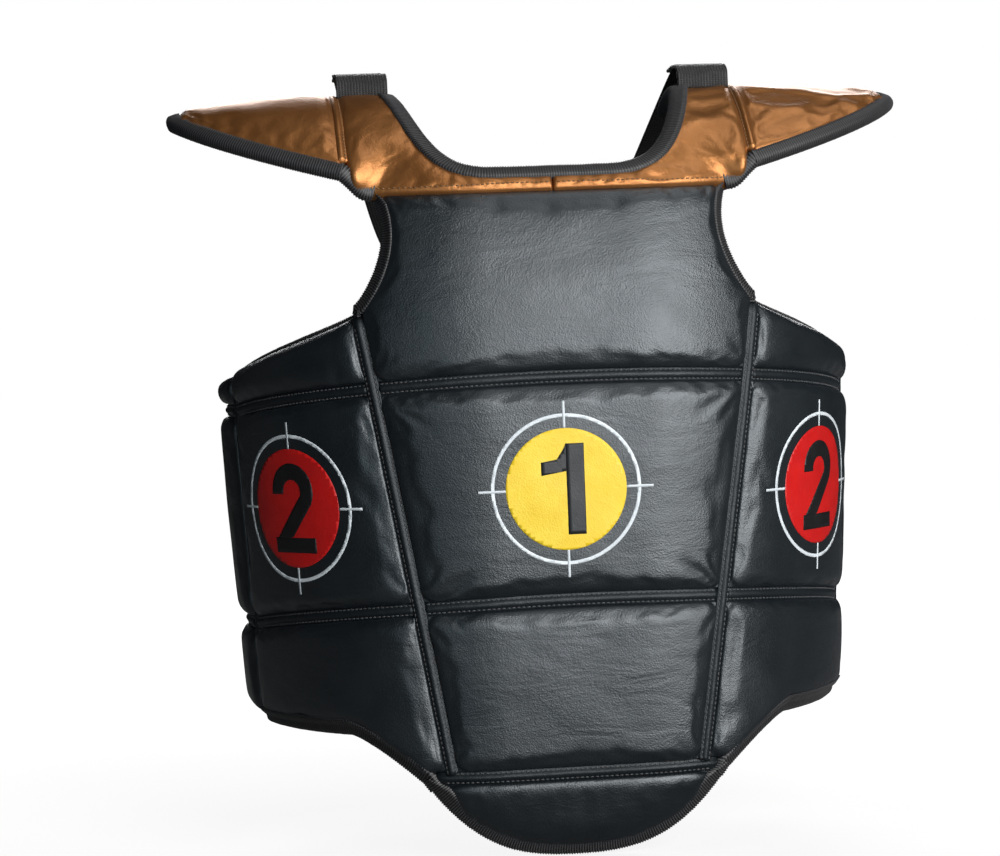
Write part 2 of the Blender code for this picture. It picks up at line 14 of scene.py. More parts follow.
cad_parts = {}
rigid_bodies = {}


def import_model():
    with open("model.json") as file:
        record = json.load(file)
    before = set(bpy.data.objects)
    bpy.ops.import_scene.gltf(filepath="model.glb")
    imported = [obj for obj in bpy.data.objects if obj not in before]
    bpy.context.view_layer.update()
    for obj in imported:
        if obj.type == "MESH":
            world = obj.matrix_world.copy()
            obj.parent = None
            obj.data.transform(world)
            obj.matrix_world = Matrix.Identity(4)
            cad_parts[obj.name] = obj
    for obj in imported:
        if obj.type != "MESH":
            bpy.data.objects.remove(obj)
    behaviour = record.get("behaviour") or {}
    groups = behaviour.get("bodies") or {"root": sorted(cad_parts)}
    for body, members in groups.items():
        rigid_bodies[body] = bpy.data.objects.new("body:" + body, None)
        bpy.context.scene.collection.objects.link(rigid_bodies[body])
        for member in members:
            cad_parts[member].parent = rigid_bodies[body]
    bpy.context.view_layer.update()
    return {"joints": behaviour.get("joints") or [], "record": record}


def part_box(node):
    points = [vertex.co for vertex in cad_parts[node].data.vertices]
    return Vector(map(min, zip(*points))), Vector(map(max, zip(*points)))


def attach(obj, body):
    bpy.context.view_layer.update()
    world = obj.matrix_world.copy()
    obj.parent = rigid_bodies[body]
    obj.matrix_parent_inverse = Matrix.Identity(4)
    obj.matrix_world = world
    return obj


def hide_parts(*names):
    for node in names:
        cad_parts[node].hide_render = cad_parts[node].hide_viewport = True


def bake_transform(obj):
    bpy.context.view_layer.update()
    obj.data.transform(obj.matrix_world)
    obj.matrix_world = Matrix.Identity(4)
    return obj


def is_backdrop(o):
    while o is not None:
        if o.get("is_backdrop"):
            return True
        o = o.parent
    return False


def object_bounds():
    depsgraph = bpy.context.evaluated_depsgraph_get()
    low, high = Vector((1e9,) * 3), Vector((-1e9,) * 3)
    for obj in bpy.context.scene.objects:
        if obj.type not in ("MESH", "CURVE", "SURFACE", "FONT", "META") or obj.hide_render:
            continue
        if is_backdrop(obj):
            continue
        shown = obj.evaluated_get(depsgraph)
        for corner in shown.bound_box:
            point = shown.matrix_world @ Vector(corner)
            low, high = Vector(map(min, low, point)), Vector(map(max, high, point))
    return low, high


for old in list(bpy.data.objects):
    bpy.data.objects.remove(old)
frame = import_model()

# ---------------------------------------------------------------- driving dimensions

PAD = 0.026                 # whole thickness of a quilted pad
FRONT_FLAT = 0.050          # half-width of the flat front
ARCS = ((0.173, 15.0), (0.198, 52.0), (0.1875, 90.0), (0.075, 150.0), (0.4036, 180.0))
TAPER = 0.238               # growth of the half-width with height, per metre
LEAN_START = 0.05
LEAN = 0.0305
APRON_LEAN = 0.36
YOKE_Z = 0.2165
UPPER_CHANNEL_Z = 0.080
LOWER_CHANNEL_Z = -0.080
CHANNEL_DIP = 0.020
BOTTOM_SEAM_Z = -0.205
MAIN_SEAM_TOP_Z = 0.133
SIDE_BOTTOM_Z = -0.170
HEM_DROP = 0.059
HEM_HALF = 0.120
HEM_CURVE = 2.6
SIDE_HEM_S = 0.185
SIDE_HEM_RUN = 0.065
SIDE_HEM_CURVE = 1.4
MAIN_SEAM_S = 0.1286
MAIN_SEAM_SLOPE = 0.151
ARMHOLE_DEPTH = 0.028
SIDE_SEAM_S = 0.301
BACK_EDGE_S = 0.542
SHOULDER_Y = 0.114
SHOULDER_Z = 0.294
ARCH = 6.44
DROOP_START = 0.150
DROOP = 0.080
WING_ROOT_X = 0.152
WING_TIP_X = 0.274
WING_OUTLINE_X = 0.134
WING_HALF_DEPTH = 0.101
WING_BACK_SHARE = 0.6
DISC_R = 0.0435
RING_INNER_R = 0.0515
RING_OUTER_R = 0.0540
TICK_R = 0.0630
FRONT_TARGET_S = -0.0035    # the front target is printed a little off centre
SIDE_TARGET_S = 0.2154
SIDE_TARGET_Z = -0.0096
STRAP_WIDTH = 0.037
STRAP_X = 0.129
WAIST_Z = -0.060
SIDE_TOP_FALL = 0.040
BACK_TOP_Z = 0.088
BACK_TOP_FALL = 0.020
BACK_BOTTOM_RISE = 0.010
CROSS_Y = 0.290
CROSS_Z = 0.080
CROSS_LIFT = 0.006

SEAM_GAP = 0.0044           # a pad stops this far from its seam's centre line
SEAM_SINK = 0.0060          # fall of a pad's face into a level channel
MAIN_SINK = 0.0040          # and into the two main seams
OPEN_SINK = 0.0115          # fall of its face at an open edge, where it rolls round to the lining
ROLL = 0.0110               # width of either fall
PAD_BACK = 0.0246           # depth of a pad's inner face
CROWN = 0.0008
STRIP_HALF = 0.0052
ROW_OFFSET = 0.0033         # stitch rows either side of a seam's centre line
STITCH_PITCH = 0.0036
STITCH_LENGTH = 0.0026
THREAD_R = 0.00055
RIB_PITCH = 0.0019          # ribs of the edge tape
RIB_HEIGHT = 0.00090
PRINT_LIFT = 0.00022
LINING = (0.0249, 0.0260)   # depths of the lining's two faces
HINGE_LINING = (0.0261, 0.0269)
APRON_BACK = 0.0185
APRON_LINING = (0.0187, 0.0196)
# depth of the middle of each tape on the trunk, its reach, and its half thickness at the fold and at its hem
ARMHOLE_TAPE = (0.0140, 0.006, 0.0074, 0.0130)
SIDE_TOP_TAPE = (0.0175, 0.005, 0.0050, 0.0065)
SIDE_HEM_TAPE = (0.0130, 0.007, 0.0070, 0.0128)
BACK_EDGE_TAPE = (0.0128, 0.007, 0.0068, 0.0124)
APRON_TAPE = (0.0103, 0.0105, 0.0044, 0.0098)
SIDES = ((1, "left"), (-1, "right"))
UP = Vector((0.0, 0.0, 1.0))


# ---------------------------------------------------------------- the trunk's surface

def mix(a, b, t):
    return a + (b - a) * t


def clamp(t):
    return min(1.0, max(0.0, t))


def smooth(t):
    t = clamp(t)
    return t * t * (3 - 2 * t)


def section(s):
    """x, y and heading on the outer curve at s."""
    side = 1.0 if s >= 0 else -1.0
    left = abs(s)
    if left <= FRONT_FLAT:
        return s, 0.0, 0.0
    x, y, heading = FRONT_FLAT, 0.0, 0.0
    left -= FRONT_FLAT
    for radius, end in ARCS:
        turn = min(left / radius, math.radians(end) - heading)
        x += radius * (math.sin(heading + turn) - math.sin(heading))
        y += radius * (math.cos(heading) - math.cos(heading + turn))
        heading += turn
        left -= radius * turn
        if left <= 1e-9:
            break
    return side * x, y, side * heading


def lean(z):
    if z > LEAN_START:
        return LEAN * ((z - LEAN_START) / (YOKE_Z - LEAN_START)) ** 2
    if z < BOTTOM_SEAM_Z:
        return APRON_LEAN * (BOTTOM_SEAM_Z - z)
    return 0.0


def wrap(s, z, depth):
    x, y, heading = section(s)
    x = x * (1 + TAPER * z) - depth * math.sin(heading)
    y = y - PAD + lean(z) + depth * math.cos(heading)
    return Vector((x, y, z))


def outward(s):
    heading = section(s)[2]
    return Vector((math.sin(heading), -math.cos(heading), 0.0))


def arch(x, y, depth):
    """Point on the shoulder arch, x and y in plan."""
    fall = DROOP * max(0.0, abs(x) - DROOP_START)
    z = SHOULDER_Z - fall - ARCH * (y - SHOULDER_Y) ** 2
    return Vector((x, y, z)) - arch_normal(x, y) * depth


def arch_normal(x, y):
    slope_x = -math.copysign(DROOP, x) if abs(x) > DROOP_START else 0.0
    slope_y = -2 * ARCH * (y - SHOULDER_Y)
    return Vector((-slope_x, -slope_y, 1.0)).normalized()


def main_seam(z):
    return MAIN_SEAM_S + MAIN_SEAM_SLOPE * min(z, MAIN_SEAM_TOP_Z)


def armhole(z):
    if z <= MAIN_SEAM_TOP_Z:
        return main_seam(z)
    rise = (z - MAIN_SEAM_TOP_Z) / (YOKE_Z - MAIN_SEAM_TOP_Z)
    return main_seam(z) - ARMHOLE_DEPTH * math.sin(math.pi * min(1.0, rise * 0.72)) ** 0.8


def channel(height, s):
    """Height of a horizontal channel: it falls towards the side seam and runs level across the back."""
    return height - CHANNEL_DIP * min(1.0, abs(s) / SIDE_SEAM_S) ** 2


def upper_channel(s):
    return channel(UPPER_CHANNEL_Z, s)


def lower_channel(s):
    return channel(LOWER_CHANNEL_Z, s)


def side_top(s):
    along = (abs(s) - main_seam(MAIN_SEAM_TOP_Z)) / (SIDE_SEAM_S - main_seam(MAIN_SEAM_TOP_Z))
    return MAIN_SEAM_TOP_Z - 0.003 - SIDE_TOP_FALL * clamp(along) ** 0.8


def side_bottom(s):
    share = clamp((SIDE_HEM_S - abs(s)) / SIDE_HEM_RUN)
    return SIDE_BOTTOM_Z + (BOTTOM_SEAM_Z - SIDE_BOTTOM_Z) * share ** SIDE_HEM_CURVE


def round_back(s):
    """Share of the way from the side seam to the back panel's edge."""
    return (abs(s) - SIDE_SEAM_S) / (BACK_EDGE_S - SIDE_SEAM_S)


def back_top(s):
    return BACK_TOP_Z - BACK_TOP_FALL * round_back(s)


def back_bottom(s):
    return SIDE_BOTTOM_Z + BACK_BOTTOM_RISE * round_back(s)


def hem(s):
    return BOTTOM_SEAM_Z - HEM_DROP * (1 - min(1.0, abs(s) / HEM_HALF) ** HEM_CURVE)


# ---------------------------------------------------------------- materials

class Look:
    """A Principled material with a few helpers for its node tree."""

    def __init__(self, name, uv=False, **inputs):
        self.material = bpy.data.materials.new(name)
        self.material.use_nodes = True
        self.nodes = self.material.node_tree.nodes
        self.links = self.material.node_tree.links
        self.shader = self.nodes["Principled BSDF"]
        for key, value in inputs.items():
            self.shader.inputs[key.replace("_", " ")].default_value = value
        self.place = self.nodes.new("ShaderNodeTexCoord").outputs["UV" if uv else "Object"]
        self.surface = None

    def node(self, kind, out, links=(), **values):
        """A node's output, with its input sockets linked or set."""
        node = self.nodes.new("ShaderNode" + kind)
        for key, value in values.items():
            if key[0].islower():
                setattr(node, key, value)
            else:
                node.inputs[key.replace("_", " ")].default_value = value
        for key, socket in dict(links).items():
            self.links.new(socket, node.inputs[key])
        return node.outputs[out]

    def stretched(self, scale):
        return self.node("Mapping", "Vector", {"Vector": self.place}, Scale=scale)

    def noise(self, scale, detail=3.0, distortion=0.0, place=None):
        return self.node("TexNoise", "Fac", {"Vector": place or self.place}, Scale=scale, Detail=detail,
                         Distortion=distortion)

    def cells(self, scale):
        return self.node("TexVoronoi", "Distance", {"Vector": self.place}, Scale=scale)

    def wave(self, pitch, axis):
        return self.node("TexWave", "Fac", {"Vector": self.place}, bands_direction=axis,
                         Scale=math.pi / (10 * pitch))

    def product(self, a, b):
        return self.node("Math", 0, {0: a, 1: b}, operation="MULTIPLY")

    def spread(self, socket, low, high, start=0.3, end=0.7):
        return self.node("MapRange", 0, {"Value": socket}, From_Min=start, From_Max=end, To_Min=low,
                         To_Max=high)

    def colour(self, socket, dark, light, start=0.3, end=0.7):
        mixed = self.node("Mix", "Result", {"Factor": self.spread(socket, 0.0, 1.0, start, end)},
                          data_type="RGBA", A=(*dark, 1.0), B=(*light, 1.0))
        self.links.new(mixed, self.shader.inputs["Base Color"])

    def roughness(self, socket, low, high):
        self.links.new(self.spread(socket, low, high), self.shader.inputs["Roughness"])

    def bump(self, socket, height, strength=1.0):
        links = {"Height": socket}
        if self.surface is not None:
            links["Normal"] = self.surface
        self.surface = self.node("Bump", "Normal", links, Distance=height, Strength=strength)
        self.links.new(self.surface, self.shader.inputs["Normal"])


def leather_grain(look, height):
    """Pebbled grain of coated leather cloth: cells of about a millimetre, with finer noise between."""
    look.bump(look.cells(820.0), height)
    look.bump(look.noise(2600.0, 2.0), height * 0.5)


def black_leather(name="black_leather", shine=0.90, dullest=0.46):
    look = Look(name, Sheen_Weight=0.02, Sheen_Roughness=0.5, Sheen_Tint=(0.55, 0.68, 0.85, 1.0),
                Coat_Weight=0.06, Coat_Roughness=0.30, Specular_IOR_Level=shine,
                Specular_Tint=(0.88, 0.95, 1.0, 1.0))
    look.colour(look.noise(9.0, 4.0), (0.0016, 0.0034, 0.0048), (0.0036, 0.0066, 0.0086))
    look.roughness(look.noise(30.0, 5.0), dullest - 0.12, dullest)
    look.bump(look.noise(30.0, 4.0, 1.4, look.stretched((0.55, 0.55, 1.7))), 0.0010, 0.6)
    look.bump(look.noise(140.0, 3.0, 0.8), 0.00030, 0.6)
    leather_grain(look, 0.00013)
    return look.material


def gold_leather():
    look = Look("gold_leather", Metallic=0.75, Coat_Weight=0.10, Coat_Roughness=0.3)
    look.colour(look.noise(22.0, 5.0), (0.30, 0.118, 0.032), (0.42, 0.178, 0.054))
    look.roughness(look.noise(48.0, 4.0), 0.34, 0.46)
    look.bump(look.noise(48.0, 3.0, 1.8, look.stretched((1.0, 1.0, 0.5))), 0.0007, 0.6)
    look.bump(look.noise(170.0, 3.0, 0.8), 0.00030, 0.6)
    leather_grain(look, 0.00007)
    return look.material


def tape_cloth():
    """Ribbed tape, in the tape's own coordinates: base colour painted near-black in the furrows (painted
    shade) and lighter on the ribs across it (painted highlight).
    """
    look = Look("grosgrain_tape", uv=True, Sheen_Weight=0.03, Sheen_Roughness=0.5)
    look.colour(look.wave(RIB_PITCH, "X"), (0.0006, 0.0006, 0.0008), (0.0600, 0.0600, 0.0640), 0.45, 0.95)
    look.roughness(look.noise(120.0, 2.0), 0.42, 0.60)
    look.bump(look.noise(2400.0, 2.0), 0.00012, 0.8)
    return look.material


def webbing_cloth():
    """Woven strap: ribs across the strap and finer yarns along it, in the ribbon's own coordinates."""
    look = Look("webbing", uv=True, Sheen_Weight=0.08, Sheen_Roughness=0.5)
    weave = look.product(look.wave(0.0016, "X"), look.wave(0.0022, "Y"))
    look.colour(weave, (0.0040, 0.0040, 0.0045), (0.0150, 0.0150, 0.0165), 0.0, 0.9)
    look.roughness(look.noise(90.0, 2.0), 0.50, 0.70)
    look.bump(weave, 0.0004, 0.9)
    look.bump(look.noise(2600.0, 2.0), 0.00008, 0.6)
    return look.material


def lining_cloth():
    """Knitted lining: small rounded loops in rows."""
    look = Look("lining_knit", uv=True, Sheen_Weight=0.08)
    knit = look.product(look.wave(0.0028, "X"), look.wave(0.0024, "Y"))
    look.colour(knit, (0.016, 0.016, 0.018), (0.060, 0.062, 0.068), 0.0, 0.9)
    look.roughness(look.noise(60.0, 2.0), 0.72, 0.90)
    look.bump(knit, 0.0004, 0.8)
    look.bump(look.noise(40.0, 3.0, 0.8), 0.0010, 0.5)
    return look.material


def thread_cloth():
    look = Look("sewing_thread", Sheen_Weight=0.2)
    # black thread, its base colour painted lighter than the thread is: painted highlight standing in for the
    # glints along the stitches
    look.colour(look.noise(500.0, 2.0), (0.026, 0.028, 0.031), (0.062, 0.065, 0.070))
    look.roughness(look.noise(800.0, 2.0), 0.35, 0.55)
    look.bump(look.noise(3500.0, 2.0), 0.0001, 0.8)
    return look.material


def ink(name, dark, light):
    """Screen-printed ink: it keeps the leather's grain and wears a little unevenly."""
    look = Look(name, Coat_Weight=0.06, Coat_Roughness=0.35)
    look.colour(look.noise(60.0, 5.0), dark, light, 0.25, 0.75)
    look.roughness(look.noise(90.0, 4.0), 0.42, 0.55)
    look.bump(look.noise(140.0, 3.0, 0.8), 0.00030, 0.5)
    leather_grain(look, 0.00008)
    return look.material


LOOKS = {
    "black_leather": black_leather(),
    "seam_leather": black_leather("seam_leather", 0.50, 0.58),
    "gold_leather": gold_leather(),
    "tape": tape_cloth(),
    "webbing": webbing_cloth(),
    "lining": lining_cloth(),
    "thread": thread_cloth(),
    "gold_thread": ink("gold_thread", (0.10, 0.048, 0.016), (0.18, 0.09, 0.03)),
    "yellow": ink("yellow_ink", (0.78, 0.53, 0.008), (0.86, 0.63, 0.035)),
    "red": ink("red_ink", (0.50, 0.003, 0.004), (0.60, 0.007, 0.005)),
    "white": ink("white_ink", (0.62, 0.68, 0.72), (0.74, 0.80, 0.84)),
    "dark": ink("dark_ink", (0.003, 0.003, 0.004), (0.006, 0.006, 0.007)),
    "grey": ink("leather_showing", (0.008, 0.010, 0.012), (0.014, 0.017, 0.020)),
}


# ---------------------------------------------------------------- mesh builders

JOINTS = {(j["parent"], j["child"]): j for j in frame["joints"]}


def hinge(parent, child):
    """Pivot and axis of the joint between two bodies."""
    joint = JOINTS[(parent, child)]
    return Vector(joint["pos_m"]), Vector(joint["axis"]).normalized()


def across_hinge(parent, child, normal, half):
    """The two bodies, and start and end points half either side of their hinge line."""
    pivot, axis = hinge(parent, child)
    over = axis.cross(normal).normalized()
    nodes = frame["record"]["behaviour"]["bodies"][child]
    middle_of_child = sum((sum(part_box(n), Vector()) / 2 for n in nodes), Vector()) / len(nodes)
    if (middle_of_child - pivot).dot(over) < 0:
        over = -over
    return parent, child, pivot - over * half, pivot + over * half


def placed(name, data):
    obj = bpy.data.objects.new(name, data)
    bpy.context.scene.collection.objects.link(obj)
    return obj


def piece(name, points, faces, look, body=None, bend=None, nodes=(), uvs=None, level=0, closed=True):
    """A shown piece: it rides on a body, or, where bend is given, stays where it is built on no body; it
    stands for CAD nodes.
    """
    mesh = bpy.data.meshes.new(name)
    mesh.from_pydata(points, [], faces)
    if uvs is not None:
        layer = mesh.uv_layers.new(name="UVMap")
        for loop in mesh.loops:
            layer.data[loop.index].uv = uvs[loop.vertex_index]
    bm = bmesh.new()
    bm.from_mesh(mesh)
    if closed:
        bmesh.ops.recalc_face_normals(bm, faces=bm.faces)
        if bm.calc_volume(signed=True) < 0:
            bmesh.ops.reverse_faces(bm, faces=bm.faces)
    bm.to_mesh(mesh)
    bm.free()
    mesh.materials.append(LOOKS[look])
    mesh.shade_smooth()
    obj = placed(name, mesh)
    if level:
        rounding = obj.modifiers.new("smooth", "SUBSURF")
        rounding.levels = rounding.render_levels = level
    if bend:
        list(bend)
        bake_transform(obj)
    else:
        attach(obj, body)
    if nodes:
        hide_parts(*nodes)
    return obj


def solid(outer, inner):
    """Points and faces of a closed form between two sheets of points, each a list of rows."""
    rows, cols = len(outer), len(outer[0])
    points = [p for row in outer for p in row] + [p for row in inner for p in row]
    far = rows * cols
    faces = []
    for j in range(rows - 1):
        for i in range(cols - 1):
            a = j * cols + i
            faces.append((a, a + 1, a + 1 + cols, a + cols))
            faces.append((a + far, a + far + cols, a + far + cols + 1, a + far + 1))
    rim = [i for i in range(cols)] + [j * cols + cols - 1 for j in range(1, rows)]
    rim += [(rows - 1) * cols + i for i in range(cols - 2, -1, -1)]
    rim += [j * cols for j in range(rows - 2, 0, -1)]
    for a, b in zip(rim, rim[1:] + rim[:1]):
        faces.append((b, a, a + far, b + far))
    return points, faces


def sheets(us, vs, at):
    """An outer and an inner sheet of points; at(u, v) gives a point of each."""
    rows = [[at(u, v) for u in us] for v in vs]
    return [[[pair[k] for pair in row] for row in rows] for k in (0, 1)]


def shell(name, outer, inner, look, body=None, uvs=(), level=1, **ride):
    """A piece between two sheets of points. uvs are those of one sheet, and serve both."""
    return piece(name, *solid(outer, inner), look, body, uvs=[*uvs, *uvs] if uvs else None, level=level,
                 **ride)


def surface_of(obj):
    bpy.context.view_layer.update()
    return BVHTree.FromObject(obj, bpy.context.evaluated_depsgraph_get())


def edge_dense(length, step, bias=0.72):
    """Shares from 0 to 1, closer together near both ends."""
    count = max(6, round(length / step))
    return [k / count - bias * math.sin(2 * math.pi * k / count) / (2 * math.pi) for k in range(count + 1)]


def even(length, step, least=2):
    count = max(least, round(length / step))
    return [k / count for k in range(count + 1)]


def puff(sheet, pressure, slack, cap, hem=1):
    """The sheet after a short cloth simulation: pressed out from inside, its hem rows sewn down."""
    rows, cols = len(sheet), len(sheet[0])
    start = [p for row in sheet for p in row]
    faces = [(j * cols + i, j * cols + i + 1, (j + 1) * cols + i + 1, (j + 1) * cols + i)
             for j in range(rows - 1) for i in range(cols - 1)]
    mesh = bpy.data.meshes.new("cloth_work")
    mesh.from_pydata(start, [], faces)
    obj = placed("cloth_work", mesh)
    rim = [j * cols + i for j in range(rows) for i in range(cols)
           if min(i, j, cols - 1 - i, rows - 1 - j) < hem]
    obj.vertex_groups.new(name="rim").add(rim, 1.0, "REPLACE")
    cloth = obj.modifiers.new("cloth", "CLOTH")
    settings = cloth.settings
    settings.vertex_group_mass = "rim"
    settings.quality = 4
    settings.mass = 0.3
    settings.tension_stiffness = 12.0
    settings.compression_stiffness = 12.0
    settings.shear_stiffness = 6.0
    settings.bending_stiffness = 0.6
    settings.air_damping = 2.0
    settings.use_pressure = True
    settings.uniform_pressure_force = pressure
    settings.shrink_min = -slack
    settings.effector_weights.gravity = 0.0
    cloth.collision_settings.use_collision = False
    cloth.point_cache.frame_start = 1
    cloth.point_cache.frame_end = 20
    for number in range(1, 21):
        bpy.context.scene.frame_set(number)
    shaped = obj.evaluated_get(bpy.context.evaluated_depsgraph_get())
    moved = [v.co.copy() for v in shaped.data.vertices]
    bpy.data.objects.remove(obj)
    bpy.data.meshes.remove(mesh)
    bpy.context.scene.frame_set(1)
    settled = []
    for before, after in zip(start, moved):
        step = after - before
        if step.length > cap:
            step *= cap / step.length
        settled.append(before + step)
    return [settled[j * cols:(j + 1) * cols] for j in range(rows)]


# ---------------------------------------------------------------- quilted pads

class Pad:
    """A quilted pad between two side lines (s from z) and two level lines (z from s).

    open_sides gives, for each side ("l", "r", "b", "t") that isn't a sewn seam, how open it is from 0 to 1,
    as a number or as a function of s and z. sinks gives the fall at a seam where it isn't SEAM_SINK.
    """

    def __init__(self, left, right, low, high, open_sides, back=PAD_BACK, open_sink=OPEN_SINK,
                 open_roll=ROLL, sinks=()):
        self.left, self.right, self.low, self.high = left, right, low, high
        self.open_sides, self.back, self.open_sink = open_sides, back, open_sink
        self.open_roll = open_roll
        self.sinks = dict(sinks)

    def openness(self, side, s, z):
        value = self.open_sides.get(side, 0.0)
        return value(s, z) if callable(value) else value

    def gap(self, side, s, z):
        return SEAM_GAP * (1 - self.openness(side, s, z))

    def at(self, u, v):
        s, z = 0.0, 0.5 * (self.low(0.0) + self.high(0.0))
        for _ in range(7):
            s = mix(self.left(z) + self.gap("l", s, z), self.right(z) - self.gap("r", s, z), u)
            z = mix(self.low(s) + self.gap("b", s, z), self.high(s) - self.gap("t", s, z), v)
        return s, z

    def depths(self, s, z):
        """Depth of the pad's outer and inner faces."""
        reach = {"l": s - self.left(z), "r": self.right(z) - s, "b": z - self.low(s), "t": self.high(s) - z}
        near = {}
        for side in "lrbt":
            roll = mix(ROLL, self.open_roll, self.openness(side, s, z))
            near[side] = max(0.0, 1 - max(0.0, reach[side] - self.gap(side, s, z)) / roll)
        side_way, level_way = max("lr", key=near.get), max("bt", key=near.get)
        a, b = near[side_way] ** 2, near[level_way] ** 2
        outer, inner = 0.0, self.back
        if a + b > 0:
            fall = 1 - math.sqrt(max(0.0, 1 - a - b))
            sinks = [mix(self.sinks.get(side, SEAM_SINK), self.open_sink, self.openness(side, s, z))
                     for side in (side_way, level_way)]
            outer = fall * (a * sinks[0] + b * sinks[1]) / (a + b)
            rise = sum(self.openness(side, s, z) * near[side] ** 2 for side in "lrbt")
            inner -= (self.back - self.open_sink - 0.002) * (1 - math.sqrt(max(0.0, 1 - rise)))
        return outer, inner

    def build(self, name, body, nodes, step=0.0034, seed=0.0, pressure=5.0, crown=CROWN, cap=0.0011, hem=1):
        """Closed form of two sheets of points, of which the outer one is puffed as cloth."""
        width = abs(self.at(1.0, 0.5)[0] - self.at(0.0, 0.5)[0])
        height = abs(self.at(0.5, 1.0)[1] - self.at(0.5, 0.0)[1])

        def faces_at(u, v):
            s, z = self.at(u, v)
            top, back = self.depths(s, z)
            swell = 16 * u * (1 - u) * v * (1 - v)
            top -= crown * swell
            top -= 0.0007 * swell * noise.noise(Vector((s * 22, z * 34, seed)))
            for away, along in ((min(u, 1 - u) * width, z), (min(v, 1 - v) * height, s)):
                pull = math.exp(-away / 0.009) * min(1.0, away / 0.002)
                top += 0.0005 * pull * noise.noise(Vector((along * 105, seed + 7.0, away * 20)))
            return wrap(s, z, top), wrap(s, z, back)

        outer, inner = sheets(edge_dense(width, step), edge_dense(height, step), faces_at)
        return shell(name, puff(outer, pressure, 0.008, cap, hem), inner, "black_leather", body, nodes=nodes)


def run_of_stitches(path):
    """Place, direction and normal of each stitch on path(distance), which is None past its end."""
    found, distance = [], STITCH_PITCH / 2
    while path(distance) is not None:
        found.append(path(distance))
        distance += STITCH_PITCH
    return found


def stitches(name, paths, lift, look="thread", **ride):
    """Raised stitches along one or more paths."""
    points, faces = [], []
    for middle, run, normal in [stitch for path in paths for stitch in run_of_stitches(path)]:
        run = run.normalized()
        normal = (normal - run * normal.dot(run)).normalized()
        beside = run.cross(normal)
        first = len(points)
        for share in (-1.0, -0.72, 0.0, 0.72, 1.0):
            radius = THREAD_R * (0.35 if abs(share) == 1.0 else 0.9 if share else 1.0)
            hub = middle + run * (share * STITCH_LENGTH / 2) + normal * (lift - 0.0003 * share * share)
            for k in range(6):
                angle = k * math.pi / 3
                points.append(hub + normal * (radius * math.cos(angle)) + beside * (radius * math.sin(angle)))
        for ring in range(4):
            for k in range(6):
                a, b = first + ring * 6 + k, first + ring * 6 + (k + 1) % 6
                faces.append((a, b, b + 6, a + 6))
        faces.append(tuple(first + k for k in range(5, -1, -1)))
        faces.append(tuple(first + 24 + k for k in range(6)))
    return piece(name, points, faces, look, **ride)


def measured(line, count=240):
    """line(t), t from 0 to 1, as a function of distance: it returns t, or None past the end."""
    marks = [0.0]
    last = line(0.0)
    for k in range(1, count + 1):
        here = line(k / count)
        marks.append(marks[-1] + (here - last).length)
        last = here

    def share(distance):
        if distance > marks[-1]:
            return None
        k = next(i for i in range(1, count + 1) if marks[i] >= distance)
        part = (distance - marks[k - 1]) / max(1e-9, marks[k] - marks[k - 1])
        return (k - 1 + part) / count

    return share, marks[-1]


HALF_PROFILE = ((0.24, -0.0016), (0.46, -0.0007), (0.60, 0.0), (0.74, 0.0001), (0.86, 0.0003), (1.0, 0.0009))
STRIP_PROFILE = [(-a, b) for a, b in reversed(HALF_PROFILE)] + [(0.0, -0.0019), *HALF_PROFILE]


def strip(name, line, sink=SEAM_SINK, back=PAD_BACK, rows=(-1, 1), place=wrap, normal=None,
          look="seam_leather", thread="thread", open_ends=(False, False), **ride):
    """A sewn channel: the raised strip between two pads, the foam below it and its rows of stitches.

    line(t) gives the two surface coordinates of the seam's centre line. open_ends says which of its ends
    roll round to the lining with the pads beside them.
    """
    normal = normal or (lambda a, b: outward(a))
    share, length = measured(lambda t: place(*line(t), sink))

    def over(t):
        """Unit step across the line, in surface coordinates."""
        a, b = line(max(0.0, t - 0.004)), line(min(1.0, t + 0.004))
        run = Vector((b[0] - a[0], b[1] - a[1])).normalized()
        return Vector((-run.y, run.x))

    outer, inner = [], []
    for t in even(length, 0.0022, 6):
        centre, aside = line(t), over(t)
        outer.append([])
        inner.append([])
        turn = 0.0
        for is_open, away in zip(open_ends, (t * length, (1 - t) * length)):
            if is_open and away < ROLL:
                turn = 1 - math.sqrt(1 - (1 - away / ROLL) ** 2)
        for share_of_half, drop in STRIP_PROFILE:
            a = centre[0] + aside.x * share_of_half * STRIP_HALF
            b = centre[1] + aside.y * share_of_half * STRIP_HALF
            drop += 0.0002 * noise.noise(Vector((t * length * 160, share_of_half, length)))
            outer[-1].append(place(a, b, sink + drop + (OPEN_SINK - sink) * turn))
            inner[-1].append(place(a, b, back - (back - OPEN_SINK - 0.002) * turn))
    shell(name, outer, inner, look, level=0, **ride)
    first, last = (ROLL * 0.8 if is_open else 0.0 for is_open in open_ends)
    paths = []
    for row in rows:

        def path(distance, row=row):
            if first + distance > length - last:
                return None
            t = share(first + distance)
            centre, aside = line(t), over(t)
            a, b = centre[0] + aside.x * row * ROW_OFFSET, centre[1] + aside.y * row * ROW_OFFSET
            ahead, behind = line(min(1.0, t + 0.004)), line(max(0.0, t - 0.004))
            return place(a, b, sink), place(*ahead, sink) - place(*behind, sink), normal(a, b)

        paths.append(path)
    stitches(name + "_stitches", paths, 0.0002, thread, **ride)


# ---------------------------------------------------------------- edge tape

